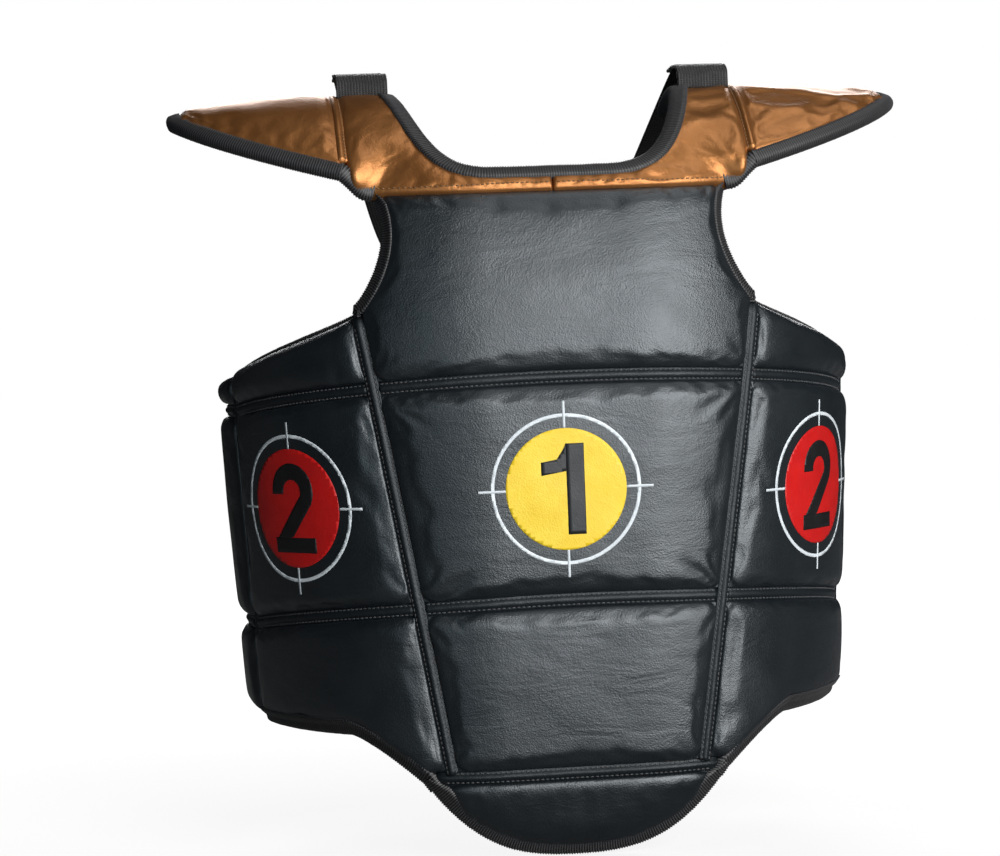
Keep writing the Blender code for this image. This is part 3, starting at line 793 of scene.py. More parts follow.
def tape(name, edge, reach, nose, root, ends=0.0, **ride):
    """Ribbed tape folded over an edge. edge(t) gives the edge's middle, the way out and the way across it.

    reach is how far the tape lies on the faces, nose and root its half thickness at the fold and at its hem.
    Over a length ends at either end it narrows to a third.
    """
    share, length = measured(lambda t: edge(t)[0])
    outline = [(-reach, root), (-0.55 * reach, mix(nose, root, 0.6)), (-0.15 * reach, nose)]
    outline += [(0.75 * nose * math.cos(a), nose * math.sin(a))
                for a in map(math.radians, (62, 36, 12, -12, -36, -62))]
    outline += [(out, -up) for out, up in reversed(outline[:3])]
    count = round(length / (RIB_PITCH / 2))
    points, faces, uvs = [], [], []
    for k in range(count + 1):
        middle, out, across = edge(share(length * min(k / count, 0.9999)))
        rib = RIB_HEIGHT if k % 2 else 0.0
        rib += 0.00015 * noise.noise(Vector((k * 0.37, reach * 900, 0.0)))
        narrow = min(1.0, 0.33 + 0.67 * length * min(k, count - k) / count / ends) if ends else 1.0
        for number, (way, up) in enumerate(outline):
            uvs.append((k * RIB_PITCH / 2, number * 0.001))
            way *= narrow if way < 0 else 1.0
            size = math.hypot(way + reach * 0.5, up)
            grow = 1 + rib / size
            points.append(middle + out * ((way + reach * 0.5) * grow - reach * 0.5) + across * (up * grow))
    around = len(outline)
    for k in range(count):
        for i in range(around):
            a, b = k * around + i, k * around + (i + 1) % around
            faces.append((a, b, b + around, a + around))
    faces.append(tuple(range(around - 1, -1, -1)))
    faces.append(tuple(count * around + i for i in range(around)))
    return piece(name, points, faces, "tape", uvs=uvs, **ride)


def trunk_edge(line, depth):
    """edge() for tape along line(t) on the trunk, which gives s, z and on which side the air is."""

    def edge(t):
        s, z, side = line(t)
        ahead, behind = line(min(1.0, t + 0.01)), line(max(0.0, t - 0.01))
        run = wrap(ahead[0], ahead[1], depth) - wrap(behind[0], behind[1], depth)
        normal = outward(s)
        return wrap(s, z, depth), run.cross(normal).normalized() * side, normal

    return edge


def smooth_along(points, t):
    """Point a share t along a list of plan points, on a Catmull-Rom curve."""
    place = t * (len(points) - 1)
    i = min(int(place), len(points) - 2)
    f = place - i
    b, c = Vector(points[i]), Vector(points[i + 1])
    a = Vector(points[i - 1]) if i else 2 * b - c
    d = Vector(points[i + 2]) if i + 2 < len(points) else 2 * c - b
    return 0.5 * (2 * b + (c - a) * f + (2 * a - 5 * b + 4 * c - d) * f * f
                  + (3 * b - a - 3 * c + d) * f ** 3)


# ---------------------------------------------------------------- prints

def disc(radius, turns=96):
    return [[(radius * math.cos(k * math.tau / turns), radius * math.sin(k * math.tau / turns))
             for k in range(turns)]]


def ring(inner, outer, turns=120):
    def at(radius, k):
        return radius * math.cos(k * math.tau / turns), radius * math.sin(k * math.tau / turns)

    return [[at(inner, k), at(outer, k), at(outer, k + 1), at(inner, k + 1)] for k in range(turns)]


def box(left, low, right, high):
    return [(left, low), (right, low), (right, high), (left, high)]


def ticks(inner, outer, half=0.0009):
    return [box(-half, inner, half, outer), box(-half, -outer, half, -inner),
            box(inner, -half, outer, half), box(-outer, -half, -inner, half)]


def numeral_one():
    """A stem with a stepped flag."""
    return [box(0.0005, -0.0325, 0.0135, 0.0325),
            [(-0.0175, 0.0100), (0.0005, 0.0128), (0.0005, 0.0225), (-0.0060, 0.0214), (-0.0175, 0.0195)],
            [(-0.0060, 0.0214), (0.0005, 0.0225), (0.0005, 0.0325), (-0.0010, 0.0290)]]


def numeral_two():
    """A stroke of even width: a bow, a slanting leg and a flat foot."""
    half, bow = 0.0060, 0.0150
    middle = [(bow * math.cos(a), 0.0120 + bow * math.sin(a))
              for a in (math.radians(186 - 9 * k) for k in range(24))]
    foot_top, heel = -0.0215, (-0.0165, -0.0285)
    last = middle[-1]
    middle += [(mix(last[0], heel[0], k / 12), mix(last[1], heel[1], k / 12)) for k in range(1, 13)]
    left, right = [], []
    for k, (x, z) in enumerate(middle):
        ahead, behind = middle[min(k + 1, len(middle) - 1)], middle[max(k - 1, 0)]
        run = Vector((ahead[0] - behind[0], ahead[1] - behind[1])).normalized()
        left.append((max(-0.0212, x - run.y * half), max(foot_top, z + run.x * half)))
        right.append((max(-0.0212, x + run.y * half), max(foot_top, z - run.x * half)))
    shapes = [[left[k], right[k], right[k + 1], left[k + 1]] for k in range(len(middle) - 1)]
    shapes = [s for s in shapes if max(z for x, z in s) - min(z for x, z in s) > 1e-4]
    return shapes + [box(-0.0212, -0.0325, 0.0205, foot_top)]


def printed(name, shapes, centre, lift, ground, look, body, nodes=()):
    """Flat shapes round a centre (s, z), cut into small faces and laid on the surface below."""
    bm = bmesh.new()
    for shape in shapes:
        bm.faces.new([bm.verts.new((x, 0.0, z)) for x, z in shape])
    bmesh.ops.remove_doubles(bm, verts=bm.verts, dist=2e-6)
    step = 0.0030
    for k in range(-22, 23):
        for normal in ((1, 0, 0), (0, 0, 1)):
            geometry = bm.verts[:] + bm.edges[:] + bm.faces[:]
            place = Vector(normal) * (k * step + 0.0004)
            bmesh.ops.bisect_plane(bm, geom=geometry, dist=1e-6, plane_co=place, plane_no=normal)
    bmesh.ops.triangulate(bm, faces=[f for f in bm.faces if len(f.verts) > 4])
    bmesh.ops.recalc_face_normals(bm, faces=bm.faces)
    for vert in bm.verts:
        s, z = centre[0] + vert.co.x, centre[1] + vert.co.z
        normal = outward(s)
        start = wrap(s, z, -0.02)
        hit = ground.ray_cast(start, -normal)[0]
        vert.co = (hit or wrap(s, z, 0.0)) + normal * lift
    for face in bm.faces:
        face.normal_update()
        if face.normal.dot(outward(centre[0])) < 0:
            face.normal_flip()
    mesh = bpy.data.meshes.new(name)
    bm.to_mesh(mesh)
    points = [v.co.copy() for v in mesh.vertices]
    faces = [tuple(p.vertices) for p in mesh.polygons]
    bm.free()
    bpy.data.meshes.remove(mesh)
    obj = piece(name, points, faces, look, body, nodes=nodes, closed=False)
    film = obj.modifiers.new("film", "SOLIDIFY")
    film.thickness = 0.00015
    film.offset = -1.0
    return obj


def target(name, centre, pad, ink_name, numeral, numeral_ink, body, node):
    ground = surface_of(pad)
    printed(name + "_disc", disc(DISC_R), centre, PRINT_LIFT, ground, ink_name, body, (node,))
    printed(name + "_ring", ring(RING_INNER_R, RING_OUTER_R), centre, PRINT_LIFT, ground, "white", body)
    printed(name + "_ticks", ticks(DISC_R, TICK_R), centre, PRINT_LIFT * 1.5, ground, "white", body)
    printed(name + "_numeral", numeral, centre, PRINT_LIFT * 2, ground, numeral_ink, body)


# ---------------------------------------------------------------- the trunk

def lining(name, left, right, low, high, depths=LINING, step=0.009, **ride):
    """A thin knitted sheet behind the pads, with a metric weave."""
    half_way = (low(0.0) + high(0.0)) / 2
    us = even(abs(right(half_way) - left(half_way)), step)
    middle = 0.5 * (left(0.0) + right(0.0))
    uvs = []

    def faces_at(u, v):
        s, z = middle, 0.0
        for _ in range(6):
            s, z = mix(left(z), right(z), u), mix(low(s), high(s), v)
        ease = 0.0003 * noise.noise(Vector((s * 60, z * 60, 3.0)))
        uvs.append((s, z))
        return [wrap(s, z, depth + ease) for depth in depths]

    outer, inner = sheets(us, even(high(middle) - low(middle), step), faces_at)
    return shell(name, outer, inner, "lining", uvs=uvs, **ride)


def seam_line(seam, low, high, side):
    """line(t) for an upright seam; it runs so that its stitch rows keep their sides."""

    def line(t):
        z = mix(low, high, t)
        return side * seam(z), z

    return line


def level_line(low, first, last):
    def line(t):
        s = mix(first, last, t)
        return s, low(s)

    return line


def open_above_main_seam(s, z):
    return smooth((z - MAIN_SEAM_TOP_Z + 0.006) / 0.014)


def open_beside_apron(s, z):
    """The side panel's bottom edge is open where it runs clear of the apron."""
    return smooth((abs(s) - HEM_HALF + 0.010) / 0.010)


def level(z):
    return lambda s: z


CHANNELS = (("upper", upper_channel), ("lower", lower_channel))
side_seam, back_edge = level(SIDE_SEAM_S), level(BACK_EDGE_S)
bottom_seam = level(BOTTOM_SEAM_Z)


def mirrored(side, near, far):
    """Left and right lines of a panel on one side, from its lines nearer to the front and further from it."""
    return (near, far) if side > 0 else (lambda z: -far(z), lambda z: -near(z))


def trunk_tape(name, line, size, body, node, **how):
    depth, *outline = size
    tape(name, trunk_edge(line, depth), *outline, body=body, nodes=(node,), **how)


def front():
    sewn = {"sinks": {"l": MAIN_SINK, "r": MAIN_SINK}}
    chest = Pad(lambda z: -armhole(z), armhole, upper_channel, level(YOKE_Z + 0.0030),
                {"l": open_above_main_seam, "r": open_above_main_seam}, **sewn)
    middle = Pad(lambda z: -main_seam(z), main_seam, lower_channel, upper_channel, {}, **sewn)
    belly = Pad(lambda z: -main_seam(z), main_seam, bottom_seam, lower_channel, {}, **sewn)
    chest.build("chest_pad", "front", ("chest_cover", "chest_foam"), seed=1.0)
    pad = middle.build("target_pad", "front", ("target_cover", "target_foam"), seed=2.0)
    belly.build("belly_pad", "front", ("belly_cover", "belly_foam"), seed=3.0)
    target("front_target", (FRONT_TARGET_S, 0.0), pad, "yellow", numeral_one(), "grey", "front",
           "front_target_print")
    for word, low in CHANNELS:
        reach = main_seam(low(MAIN_SEAM_S)) - STRIP_HALF
        strip(f"front_{word}_channel", level_line(low, -reach, reach), body="front")
    lining("front_lining_sheet", lambda z: -armhole(z), armhole, bottom_seam, level(YOKE_Z), body="front",
           nodes=("front_lining",))
    for side, word in SIDES:

        def armhole_line(t, side=side):
            z = mix(MAIN_SEAM_TOP_Z - 0.006, YOKE_Z - 0.0015, t)
            return side * armhole(z), z, side

        trunk_tape("armhole_tape_" + word, armhole_line, ARMHOLE_TAPE, "front", "armhole_binding_" + word,
                   ends=0.010)


def side_panel(side, word):
    body = "side_" + word
    lines = mirrored(side, main_seam, side_seam)
    pads = {}
    for name, low, high, open_sides in (("upper", upper_channel, side_top, {"t": 1.0}),
                                        ("middle", lower_channel, upper_channel, {}),
                                        ("lower", side_bottom, lower_channel, {"b": open_beside_apron})):
        pad = Pad(*lines, low, high, open_sides, sinks={"l" if side > 0 else "r": MAIN_SINK})
        pads[name] = pad.build(f"side_{name}_pad_{word}", body,
                               (f"side_{name}_cover_{word}", f"side_{name}_foam_{word}"), seed=4.0 + side,
                               pressure=2.0, crown=0.0, cap=0.0012)
    target("side_target_" + word, (side * SIDE_TARGET_S, SIDE_TARGET_Z), pads["middle"], "red", numeral_two(),
           "dark", body, "side_target_print_" + word)
    for name, low in CHANNELS:
        first = main_seam(low(MAIN_SEAM_S)) + STRIP_HALF
        strip(f"side_{name}_channel_{word}", level_line(low, side * first, side * (SIDE_SEAM_S - STRIP_HALF)),
              body=body)
    lining("side_lining_sheet_" + word, *lines, side_bottom, side_top, body=body,
           nodes=("side_lining_" + word,))

    bend = across_hinge("front", body, outward(side * MAIN_SEAM_S), STRIP_HALF)
    line = seam_line(main_seam, BOTTOM_SEAM_Z + 0.0035, MAIN_SEAM_TOP_Z - 0.003, side)
    strip("main_seam_" + word, line, sink=MAIN_SINK, open_ends=(False, True), bend=bend)
    hinge_lining("main_seam_lining_" + word, main_seam, side, BOTTOM_SEAM_Z + 0.002, MAIN_SEAM_TOP_Z - 0.006,
                 "front", body)

    def top_line(t):
        s = side * mix(main_seam(MAIN_SEAM_TOP_Z) - 0.002, SIDE_SEAM_S - 0.001, t)
        return s, side_top(s) - 0.001, -side

    def hem_line(t):
        s = side * mix(HEM_HALF - 0.007, SIDE_SEAM_S - 0.001, t)
        return s, side_bottom(s) if abs(s) > HEM_HALF else hem(s), side

    trunk_tape("side_top_tape_" + word, top_line, SIDE_TOP_TAPE, body, "side_top_binding_" + word)
    trunk_tape("side_hem_tape_" + word, hem_line, SIDE_HEM_TAPE, body, "side_hem_binding_" + word)


def hinge_lining(name, seam, side, low, high, parent, child, half=0.009):
    """Lining that stretches over a hinge line."""
    bend = across_hinge(parent, child, outward(side * seam(0.0)), half)
    lining(name, lambda z: side * seam(z) - half, lambda z: side * seam(z) + half, level(low), level(high),
           HINGE_LINING, step=0.0045, bend=bend)


def back_panel(side, word):
    body, parent = "back_" + word, "side_" + word
    lines = mirrored(side, side_seam, back_edge)
    nodes = ("back_cover_" + word, "back_foam_" + word)
    for name, low, high, open_sides, seed in (("middle", lower_channel, upper_channel, {}, 6.0),
                                              ("lower", back_bottom, lower_channel, {"b": 1.0}, 8.0),
                                              ("upper", upper_channel, back_top, {"t": 1.0}, 10.0)):
        pad = Pad(*lines, low, high, {**open_sides, ("r" if side > 0 else "l"): 1.0},
                  open_roll=0.008 if name == "upper" else ROLL)
        pad.build(f"back_{name}_pad_{word}", body, nodes if name == "middle" else (), 0.0045, seed + side)
    for name, low in CHANNELS:
        ends = side * (SIDE_SEAM_S + STRIP_HALF), side * BACK_EDGE_S
        strip(f"back_{name}_channel_{word}", level_line(low, *ends), open_ends=(False, True), body=body)
    lining("back_lining_sheet_" + word, *lines, back_bottom, back_top, body=body,
           nodes=("back_lining_" + word,))

    top, low = side_top(SIDE_SEAM_S), SIDE_BOTTOM_Z
    bend = across_hinge(parent, body, outward(side * SIDE_SEAM_S), STRIP_HALF)
    strip("side_seam_" + word, seam_line(side_seam, low, top - 0.002, side), open_ends=(True, True),
          bend=bend)
    hinge_lining("side_seam_lining_" + word, side_seam, side, low + 0.006, top - 0.008, parent, body)

    def edge_line(t):
        return side * BACK_EDGE_S, mix(back_bottom(BACK_EDGE_S), back_top(BACK_EDGE_S), t), side

    trunk_tape("back_edge_tape_" + word, edge_line, BACK_EDGE_TAPE, body, "back_edge_binding_" + word)


def apron():
    reach = HEM_HALF - 0.006
    pad = Pad(level(-reach), level(reach), hem, bottom_seam, {"l": 1.0, "r": 1.0, "b": 1.0},
              APRON_BACK, open_sink=0.0100, open_roll=0.030)
    pad.build("apron_pad", "apron", ("apron_cover", "apron_foam"), seed=12.0, pressure=3.0, hem=5)
    lining("apron_lining_sheet", level(-reach), level(reach), hem, bottom_seam, APRON_LINING, body="apron",
           nodes=("apron_lining",))
    bend = across_hinge("front", "apron", outward(0.0), STRIP_HALF)
    strip("bottom_seam", level_line(bottom_seam, -reach, reach), back=APRON_BACK, open_ends=(True, True),
          bend=bend)

    def hem_line(t):
        s = mix(0.0008 - HEM_HALF, HEM_HALF - 0.0008, t)
        return s, hem(s), 1

    trunk_tape("apron_tape", hem_line, APRON_TAPE, "apron", "apron_binding", ends=0.016)


# ---------------------------------------------------------------- shoulders

NECK_LINE = ((0.0, 0.0151), (0.030, 0.0151), (0.055, 0.0160), (0.074, 0.0215), (0.088, 0.0340),
             (0.098, 0.0540), (0.106, 0.0850), (0.109, SHOULDER_Y), (0.108, SHOULDER_Y + 0.042))
YOKE_EDGE = ((0.0, 0.0043), (0.035, 0.0043), (0.070, 0.0043), (0.098, 0.0043), (0.122, 0.0043),
             (0.1460, 0.0175), (0.1480, 0.0650), (0.150, SHOULDER_Y), (0.150, SHOULDER_Y + 0.042))
CORNER_SHARE = 0.5          # the armhole corner is half-way along the yoke's edge
YOKE_BACK = 0.0110          # thickness of the padded yoke and wings
FOLD_CORNER = (0.133, 0.014)    # the gold gathers towards this corner of the armhole
EDGE_TAPE = (0.0055, 0.0047, 0.0056)    # reach, nose and root of the tape round the wings
EDGE_TAPE_DEPTH = 0.0066
NECK_TAPE = (0.0085, 0.0055, 0.0073)
NECK_TAPE_DEPTH = 0.0058
LINING_LAP = 0.002          # the left half's lining laps over the right one's at the centre


def gathered(x, y, seed):
    """Folds that fan out from the armhole corner and die away over a few centimetres."""
    dx, dy = abs(x) - FOLD_CORNER[0], (y - FOLD_CORNER[1]) * 1.9
    away = math.hypot(dx, dy)
    angle = math.atan2(dy, dx)
    wave = noise.noise(Vector((angle * 3.1, seed, away * 9)))
    sharp = 1 - abs(noise.noise(Vector((angle * 4.3, seed + 5.0, away * 6)))) * 2.4
    return (0.0016 * wave + 0.0008 * sharp) * math.exp(-away / 0.045) * min(1.0, away / 0.006)


def shoulder_sheet(name, plan, us, vs, seam_sinks, crown, seed, gold_nodes, body, place=None):
    """Padded gold sheet on the shoulder arch. seam_sinks gives (sink, roll) for u=0, u=1, v=0 and v=1."""
    place = place or (lambda u, v, depth: arch(*plan(u, v), depth))

    def faces_at(u, v):
        x, y = plan(u, v)
        here = place(u, v, 0.0)
        reach = [(here - place(*spot, 0.0)).length for spot in ((0.0, v), (1.0, v), (u, 0.0), (u, 1.0))]
        sunk = 0.0
        for away, (sink, roll) in zip(reach, seam_sinks):
            near = max(0.0, 1 - away / roll)
            sunk = max(sunk, sink * (1 - math.sqrt(max(0.0, 1 - near * near))))
        swell = 16 * u * (1 - u) * v * (1 - v)
        rise = crown * swell ** 0.5 + gathered(x, y, seed) * min(1.0, 4 * swell)
        rise += 0.0006 * swell * noise.noise(Vector((x * 60, y * 60, seed)))
        pull = math.exp(-reach[3] / 0.010) * min(1.0, reach[3] / 0.003)
        rise += 0.0009 * pull * noise.noise(Vector((x * 110, y * 40, seed + 3.0)))
        rise *= clamp((min(reach) - 0.003) / 0.008)
        return place(u, v, sunk - rise), place(u, v, max(YOKE_BACK - 0.0006, sunk + 0.0008))

    outer, inner = sheets(us, vs, faces_at)
    return shell(name, puff(outer, 4.0, 0.008, 0.0016, 4), inner, "gold_leather", body, nodes=gold_nodes)


def arch_edge(x, y, run, side, depth):
    """Middle, way out and normal of a tape at x, y on the shoulder arch, where its edge heads along run."""
    normal = arch_normal(side * x, y)
    out = Vector((-run.y * side, run.x, 0.0))
    out = (out - normal * out.dot(normal)).normalized()
    return arch(side * x, y, depth), out, normal


def yoke_place(plan, side):
    """Points of the yoke: the shoulder arch, drawn in at the front to meet the chest pad's top edge."""

    def shift(u):
        share = min(1.0, u / CORNER_SHARE)
        meet = wrap(side * share * armhole(YOKE_Z), YOKE_Z, 0.0)
        start = arch(*plan(share * CORNER_SHARE, 1.0), 0.0)
        return (meet - start) * (1 - smooth((u - CORNER_SHARE) / 0.14))

    def place(u, v, depth):
        return arch(*plan(u, v), depth) + shift(u) * v ** 1.4

    return place


def yoke_half(side, word):

    def plan(u, v):
        inner, outer = smooth_along(NECK_LINE, u), smooth_along(YOKE_EDGE, u)
        x, y = mix(inner.x, outer.x, v), mix(inner.y, outer.y, v)
        return side * max(0.00005, x), y

    place = yoke_place(plan, side)
    sinks = ((0.0006, 0.002), (0.0085, 0.010), (0.0045, 0.010), (0.0042, 0.0070))
    gold = shoulder_sheet("yoke_" + word, plan, even(0.300, 0.0030), edge_dense(0.036, 0.0020, 0.55), sinks,
                          0.0006, 20.0 + side, ("yoke_cover_" + word, "yoke_foam_" + word), "front", place)
    us, vs = even(0.300, 0.008), even(1.0, 0.12)
    outer, inner = sheets(us, vs, lambda u, v: (place(u, v, YOKE_BACK), place(u, v, YOKE_BACK + 0.0009)))
    if side > 0:
        for row in outer + inner:
            row[0].x -= LINING_LAP
    shell("yoke_lining_" + word, outer, inner, "lining", "front", [plan(u, v) for v in vs for u in us])

    topstitch = measured(lambda t: place(0.01 + 0.50 * t, 0.80, 0.0))[0]
    ground = surface_of(gold)

    def row(distance):
        t = topstitch(distance)
        if t is None:
            return None
        u = 0.01 + 0.50 * t
        v = 1 - 0.0045 / (place(u, 1.0, 0.0) - place(u, 0.0, 0.0)).length
        normal = arch_normal(*plan(u, v))
        here = ground.ray_cast(place(u, v, -0.010), -normal)[0] or place(u, v, 0.0002)
        return here, place(u + 0.004, v, 0.0) - place(u, v, 0.0), normal

    stitches("yoke_topstitch_" + word, [row], 0.0001, "gold_thread", body="front")

    def corner_edge(t):
        """From the chest pad's top corner to the wing's front edge, which it joins."""
        stops = [place(u, 1.0, 0.0) for u in (CORNER_SHARE - 0.008, CORNER_SHARE + 0.045)]
        stops += [arch(side * x, SHOULDER_Y - wing_half_depth(x), 0.0)
                  for x in (WING_ROOT_X, WING_ROOT_X + 0.012)]
        t *= 0.69
        run = smooth_along(stops, t + 0.01) - smooth_along(stops, max(0.0, t - 0.01))
        over = arch_normal(side * WING_ROOT_X, stops[2].y)
        normal = mix(outward(side * armhole(YOKE_Z)), over, min(1.0, 0.4 + t))
        normal = (normal - run * (normal.dot(run) / run.length_squared)).normalized()
        out = run.cross(normal).normalized() * side
        return smooth_along(stops, t) - normal * EDGE_TAPE_DEPTH, out, normal

    tape("yoke_corner_tape_" + word, corner_edge, *EDGE_TAPE, body="front")


def neck():

    def edge(t):
        side = 1 if t >= 0.5 else -1
        share = abs(2 * t - 1)
        here = smooth_along(NECK_LINE, share)
        ahead = smooth_along(NECK_LINE, min(1.0, share + 0.01))
        behind = smooth_along(NECK_LINE, max(0.0, share - 0.01))
        return arch_edge(here.x, here.y, (ahead - behind).normalized(), side, NECK_TAPE_DEPTH)

    tape("neck_tape", edge, *NECK_TAPE, body="front", nodes=("neck_binding",))


def wing_half_depth(x):
    share = min(1.0, (x - WING_OUTLINE_X) / (WING_TIP_X - WING_OUTLINE_X))
    return WING_HALF_DEPTH * (1 - share) ** 0.38


def wing(side, word):
    body = "wing_" + word

    def plan(u, v):
        """u from the root to the tip, v from the back edge to the front edge."""
        x = mix(WING_ROOT_X - 0.0005, WING_TIP_X - 0.0065, u)
        across = 2 * v - 1
        half = wing_half_depth(x) - 0.002
        return side * x, SHOULDER_Y - across * half * (WING_BACK_SHARE if across < 0 else 1.0)

    us = edge_dense(0.125, 0.0028, 0.5)
    sinks = ((0.0022, 0.007), (0.0052, 0.011), (0.0052, 0.011), (0.0052, 0.011))
    shoulder_sheet("wing_pad_" + word, plan, us, edge_dense(0.150, 0.0028, 0.6), sinks, 0.0028, 30.0 + side,
                   ("wing_cover_" + word, "wing_foam_" + word), body)
    us, vs = us[::3] + us[-1:], even(0.150, 0.007)
    outer, inner = sheets(us, vs, lambda u, v: (arch(*plan(u, v), YOKE_BACK - 0.0004),
                                                arch(*plan(u, v), YOKE_BACK + 0.0007)))
    shell("wing_underside_" + word, outer, inner, "lining", body, [plan(u, v) for v in vs for u in us], 0,
          nodes=("wing_lining_" + word,))

    def edge(t):
        """Round the rim from the root's back corner by the tip to its front corner."""

        def at(t):
            across = 2 * t - 1
            x = mix(WING_ROOT_X - 0.001, WING_TIP_X - 0.003, (1 - abs(across) ** 1.8))
            half = wing_half_depth(x)
            blunt = min(1.0, abs(across) / 0.06)
            return x, SHOULDER_Y + (-half * blunt if across > 0 else WING_BACK_SHARE * half * blunt)

        (x1, y1), (x0, y0) = at(min(1.0, t + 0.006)), at(max(0.0, t - 0.006))
        return arch_edge(*at(t), Vector((x1 - x0, y1 - y0, 0.0)).normalized(), side, EDGE_TAPE_DEPTH)

    tape("wing_tape_" + word, edge, *EDGE_TAPE, body=body, nodes=("wing_binding_" + word,))

    def root(t):
        front_end = SHOULDER_Y - wing_half_depth(WING_ROOT_X) + 0.006
        return side * (WING_ROOT_X - 0.001), mix(front_end, SHOULDER_Y + 0.041, t)

    strip("wing_seam_" + word, root, sink=0.0014, back=YOKE_BACK, place=arch, normal=arch_normal,
          look="gold_leather", thread="gold_thread", bend=across_hinge("front", body, UP, STRIP_HALF))


# ---------------------------------------------------------------- webbing

def ribbon(name, spine, across, length, body, nodes=(), width=STRAP_WIDTH, thick=0.0018):
    """Woven strap with a rounded selvedge on both edges. spine(t) and across(t) place it."""
    half = ((0.25, 0.96), (0.45, 1.0), (0.485, 1.15), (0.5, 0.55))
    profile = [(-a, b) for a, b in reversed(half)] + [(0.0, 0.98), *half]
    outer, inner, uvs = [], [], []
    for t in even(length, 0.0030):
        middle, over = spine(t), across(t)
        run = (spine(min(1.0, t + 0.004)) - spine(max(0.0, t - 0.004))).normalized()
        face = run.cross(over).normalized()
        outer.append([middle + over * (width * a) + face * (thick * b / 2) for a, b in profile])
        inner.append([middle + over * (width * a) - face * (thick * b / 2) for a, b in profile])
        uvs += [(t * length, width * a) for a, b in profile]
    return shell(name, outer, inner, "webbing", body, uvs, nodes=nodes)


def corner_run(corners, ease=0.6):
    """Smooth curve through corner points, one equal share of t for each stretch."""

    def spine(t):
        place = t * (len(corners) - 1)
        i = min(int(place), len(corners) - 2)
        share = place - i
        before, after = corners[max(0, i - 1)], corners[min(len(corners) - 1, i + 2)]
        a, b = corners[i], corners[i + 1]
        point = a + (b - a) * (share * share * (3 - 2 * share))
        point += (b - before) * 0.5 * (share * (1 - share) ** 2) * ease
        point -= (after - a) * 0.5 * (share * share * (1 - share)) * ease
        return point

    return spine


def on_side(side, point):
    return Vector((side * point.x, point.y, point.z))


def box_stitch(name, centre, half_width, half_height, body):
    """Stitched rectangle with a cross in it, on a face that looks back."""
    corners = [centre + Vector((a * half_width, 0.0, b * half_height))
               for a, b in ((-1, -1), (1, -1), (1, 1), (-1, 1))]
    paths = []
    for a, b in ((0, 1), (1, 2), (2, 3), (3, 0), (0, 2), (1, 3)):

        def path(distance, first=corners[a], step=corners[b] - corners[a]):
            if distance > step.length:
                return None
            return first + step * (distance / step.length), step, Vector((0.0, 1.0, 0.0))

        paths.append(path)
    stitches(name, paths, 0.0002, body=body)


# places on the shoulder line, behind and above its top: the strap's start, and its doubled front end
STRAP_START = ((-0.012, 0.0050), (0.020, 0.0125))
STRAP_END = ((-0.018, -0.0035), (-0.0175, 0.0090), (-0.010, 0.0135), (0.010, 0.0150), (0.030, 0.0135))


def over_shoulder(places):
    return [Vector((STRAP_X, SHOULDER_Y + y, SHOULDER_Z + z)) for y, z in places]


def harness_strap(side, word, lift):
    """A strap from the shoulder over the shoulder blade and the crossing to the far side of the back."""
    run = corner_run(over_shoulder(STRAP_START) + [
        Vector((0.090, 0.250, 0.190)), Vector((0.0, CROSS_Y, CROSS_Z)), Vector((-0.080, 0.286, -0.010))])

    def spine(t):
        return on_side(side, run(t)) + Vector((0.0, lift * clamp((t - 0.45) / 0.2), 0.0))

    def across(t):
        ahead = (spine(min(1.0, t + 0.02)) - spine(max(0.0, t - 0.02))).normalized()
        return ahead.cross(UP.lerp(Vector((0.0, 1.0, 0.0)), clamp((t - 0.25) / 0.25))).normalized()

    ribbon("harness_webbing_" + word, spine, across, 0.52, "harness", ("harness_strap_" + word,))


def strap_end(side, word):
    """The strap's front end, doubled back on itself and standing up from the yoke."""
    run = corner_run(over_shoulder(STRAP_END), 0.5)
    ribbon("strap_end_" + word, lambda t: on_side(side, run(t)), lambda t: Vector((side, 0.0, 0.0)), 0.070,
           "harness", width=STRAP_WIDTH + 0.0015, thick=0.0026)


def harness():
    for side, word in SIDES:
        harness_strap(side, word, 0.0 if side > 0 else CROSS_LIFT)
        strap_end(side, word)
    low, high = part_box("harness_cross_patch")
    centre, size = (low + high) / 2, high - low
    ribbon("harness_patch", lambda t: centre + UP * (size.z * (0.5 - t)),
           lambda t: Vector((1.0, 0.0, 0.0)), size.z, "harness", ("harness_cross_patch",), size.x, size.y)
    box_stitch("harness_patch_stitch", centre + Vector((0.0, size.y / 2, 0.0)), size.x * 0.42, size.z * 0.42,
               "harness")


def half_round():
    """Length of the outer curve from the front centre to the back centre."""
    length, heading = FRONT_FLAT, 0.0
    for radius, end in ARCS:
        length += radius * (math.radians(end) - heading)
        heading = math.radians(end)
    return length


def waist_strap():
    half = half_round()
    first, last = BACK_EDGE_S + 0.004, 2 * half - BACK_EDGE_S - 0.004

    def spine(t):
        s = mix(first, last, t)
        return wrap(s, WAIST_Z, 0.009) if s <= half else on_side(-1, wrap(2 * half - s, WAIST_Z, 0.009))

    ribbon("waist_webbing", spine, lambda t: UP, last - first, "waist", ("waist_strap",))


# ---------------------------------------------------------------- floor, light and camera

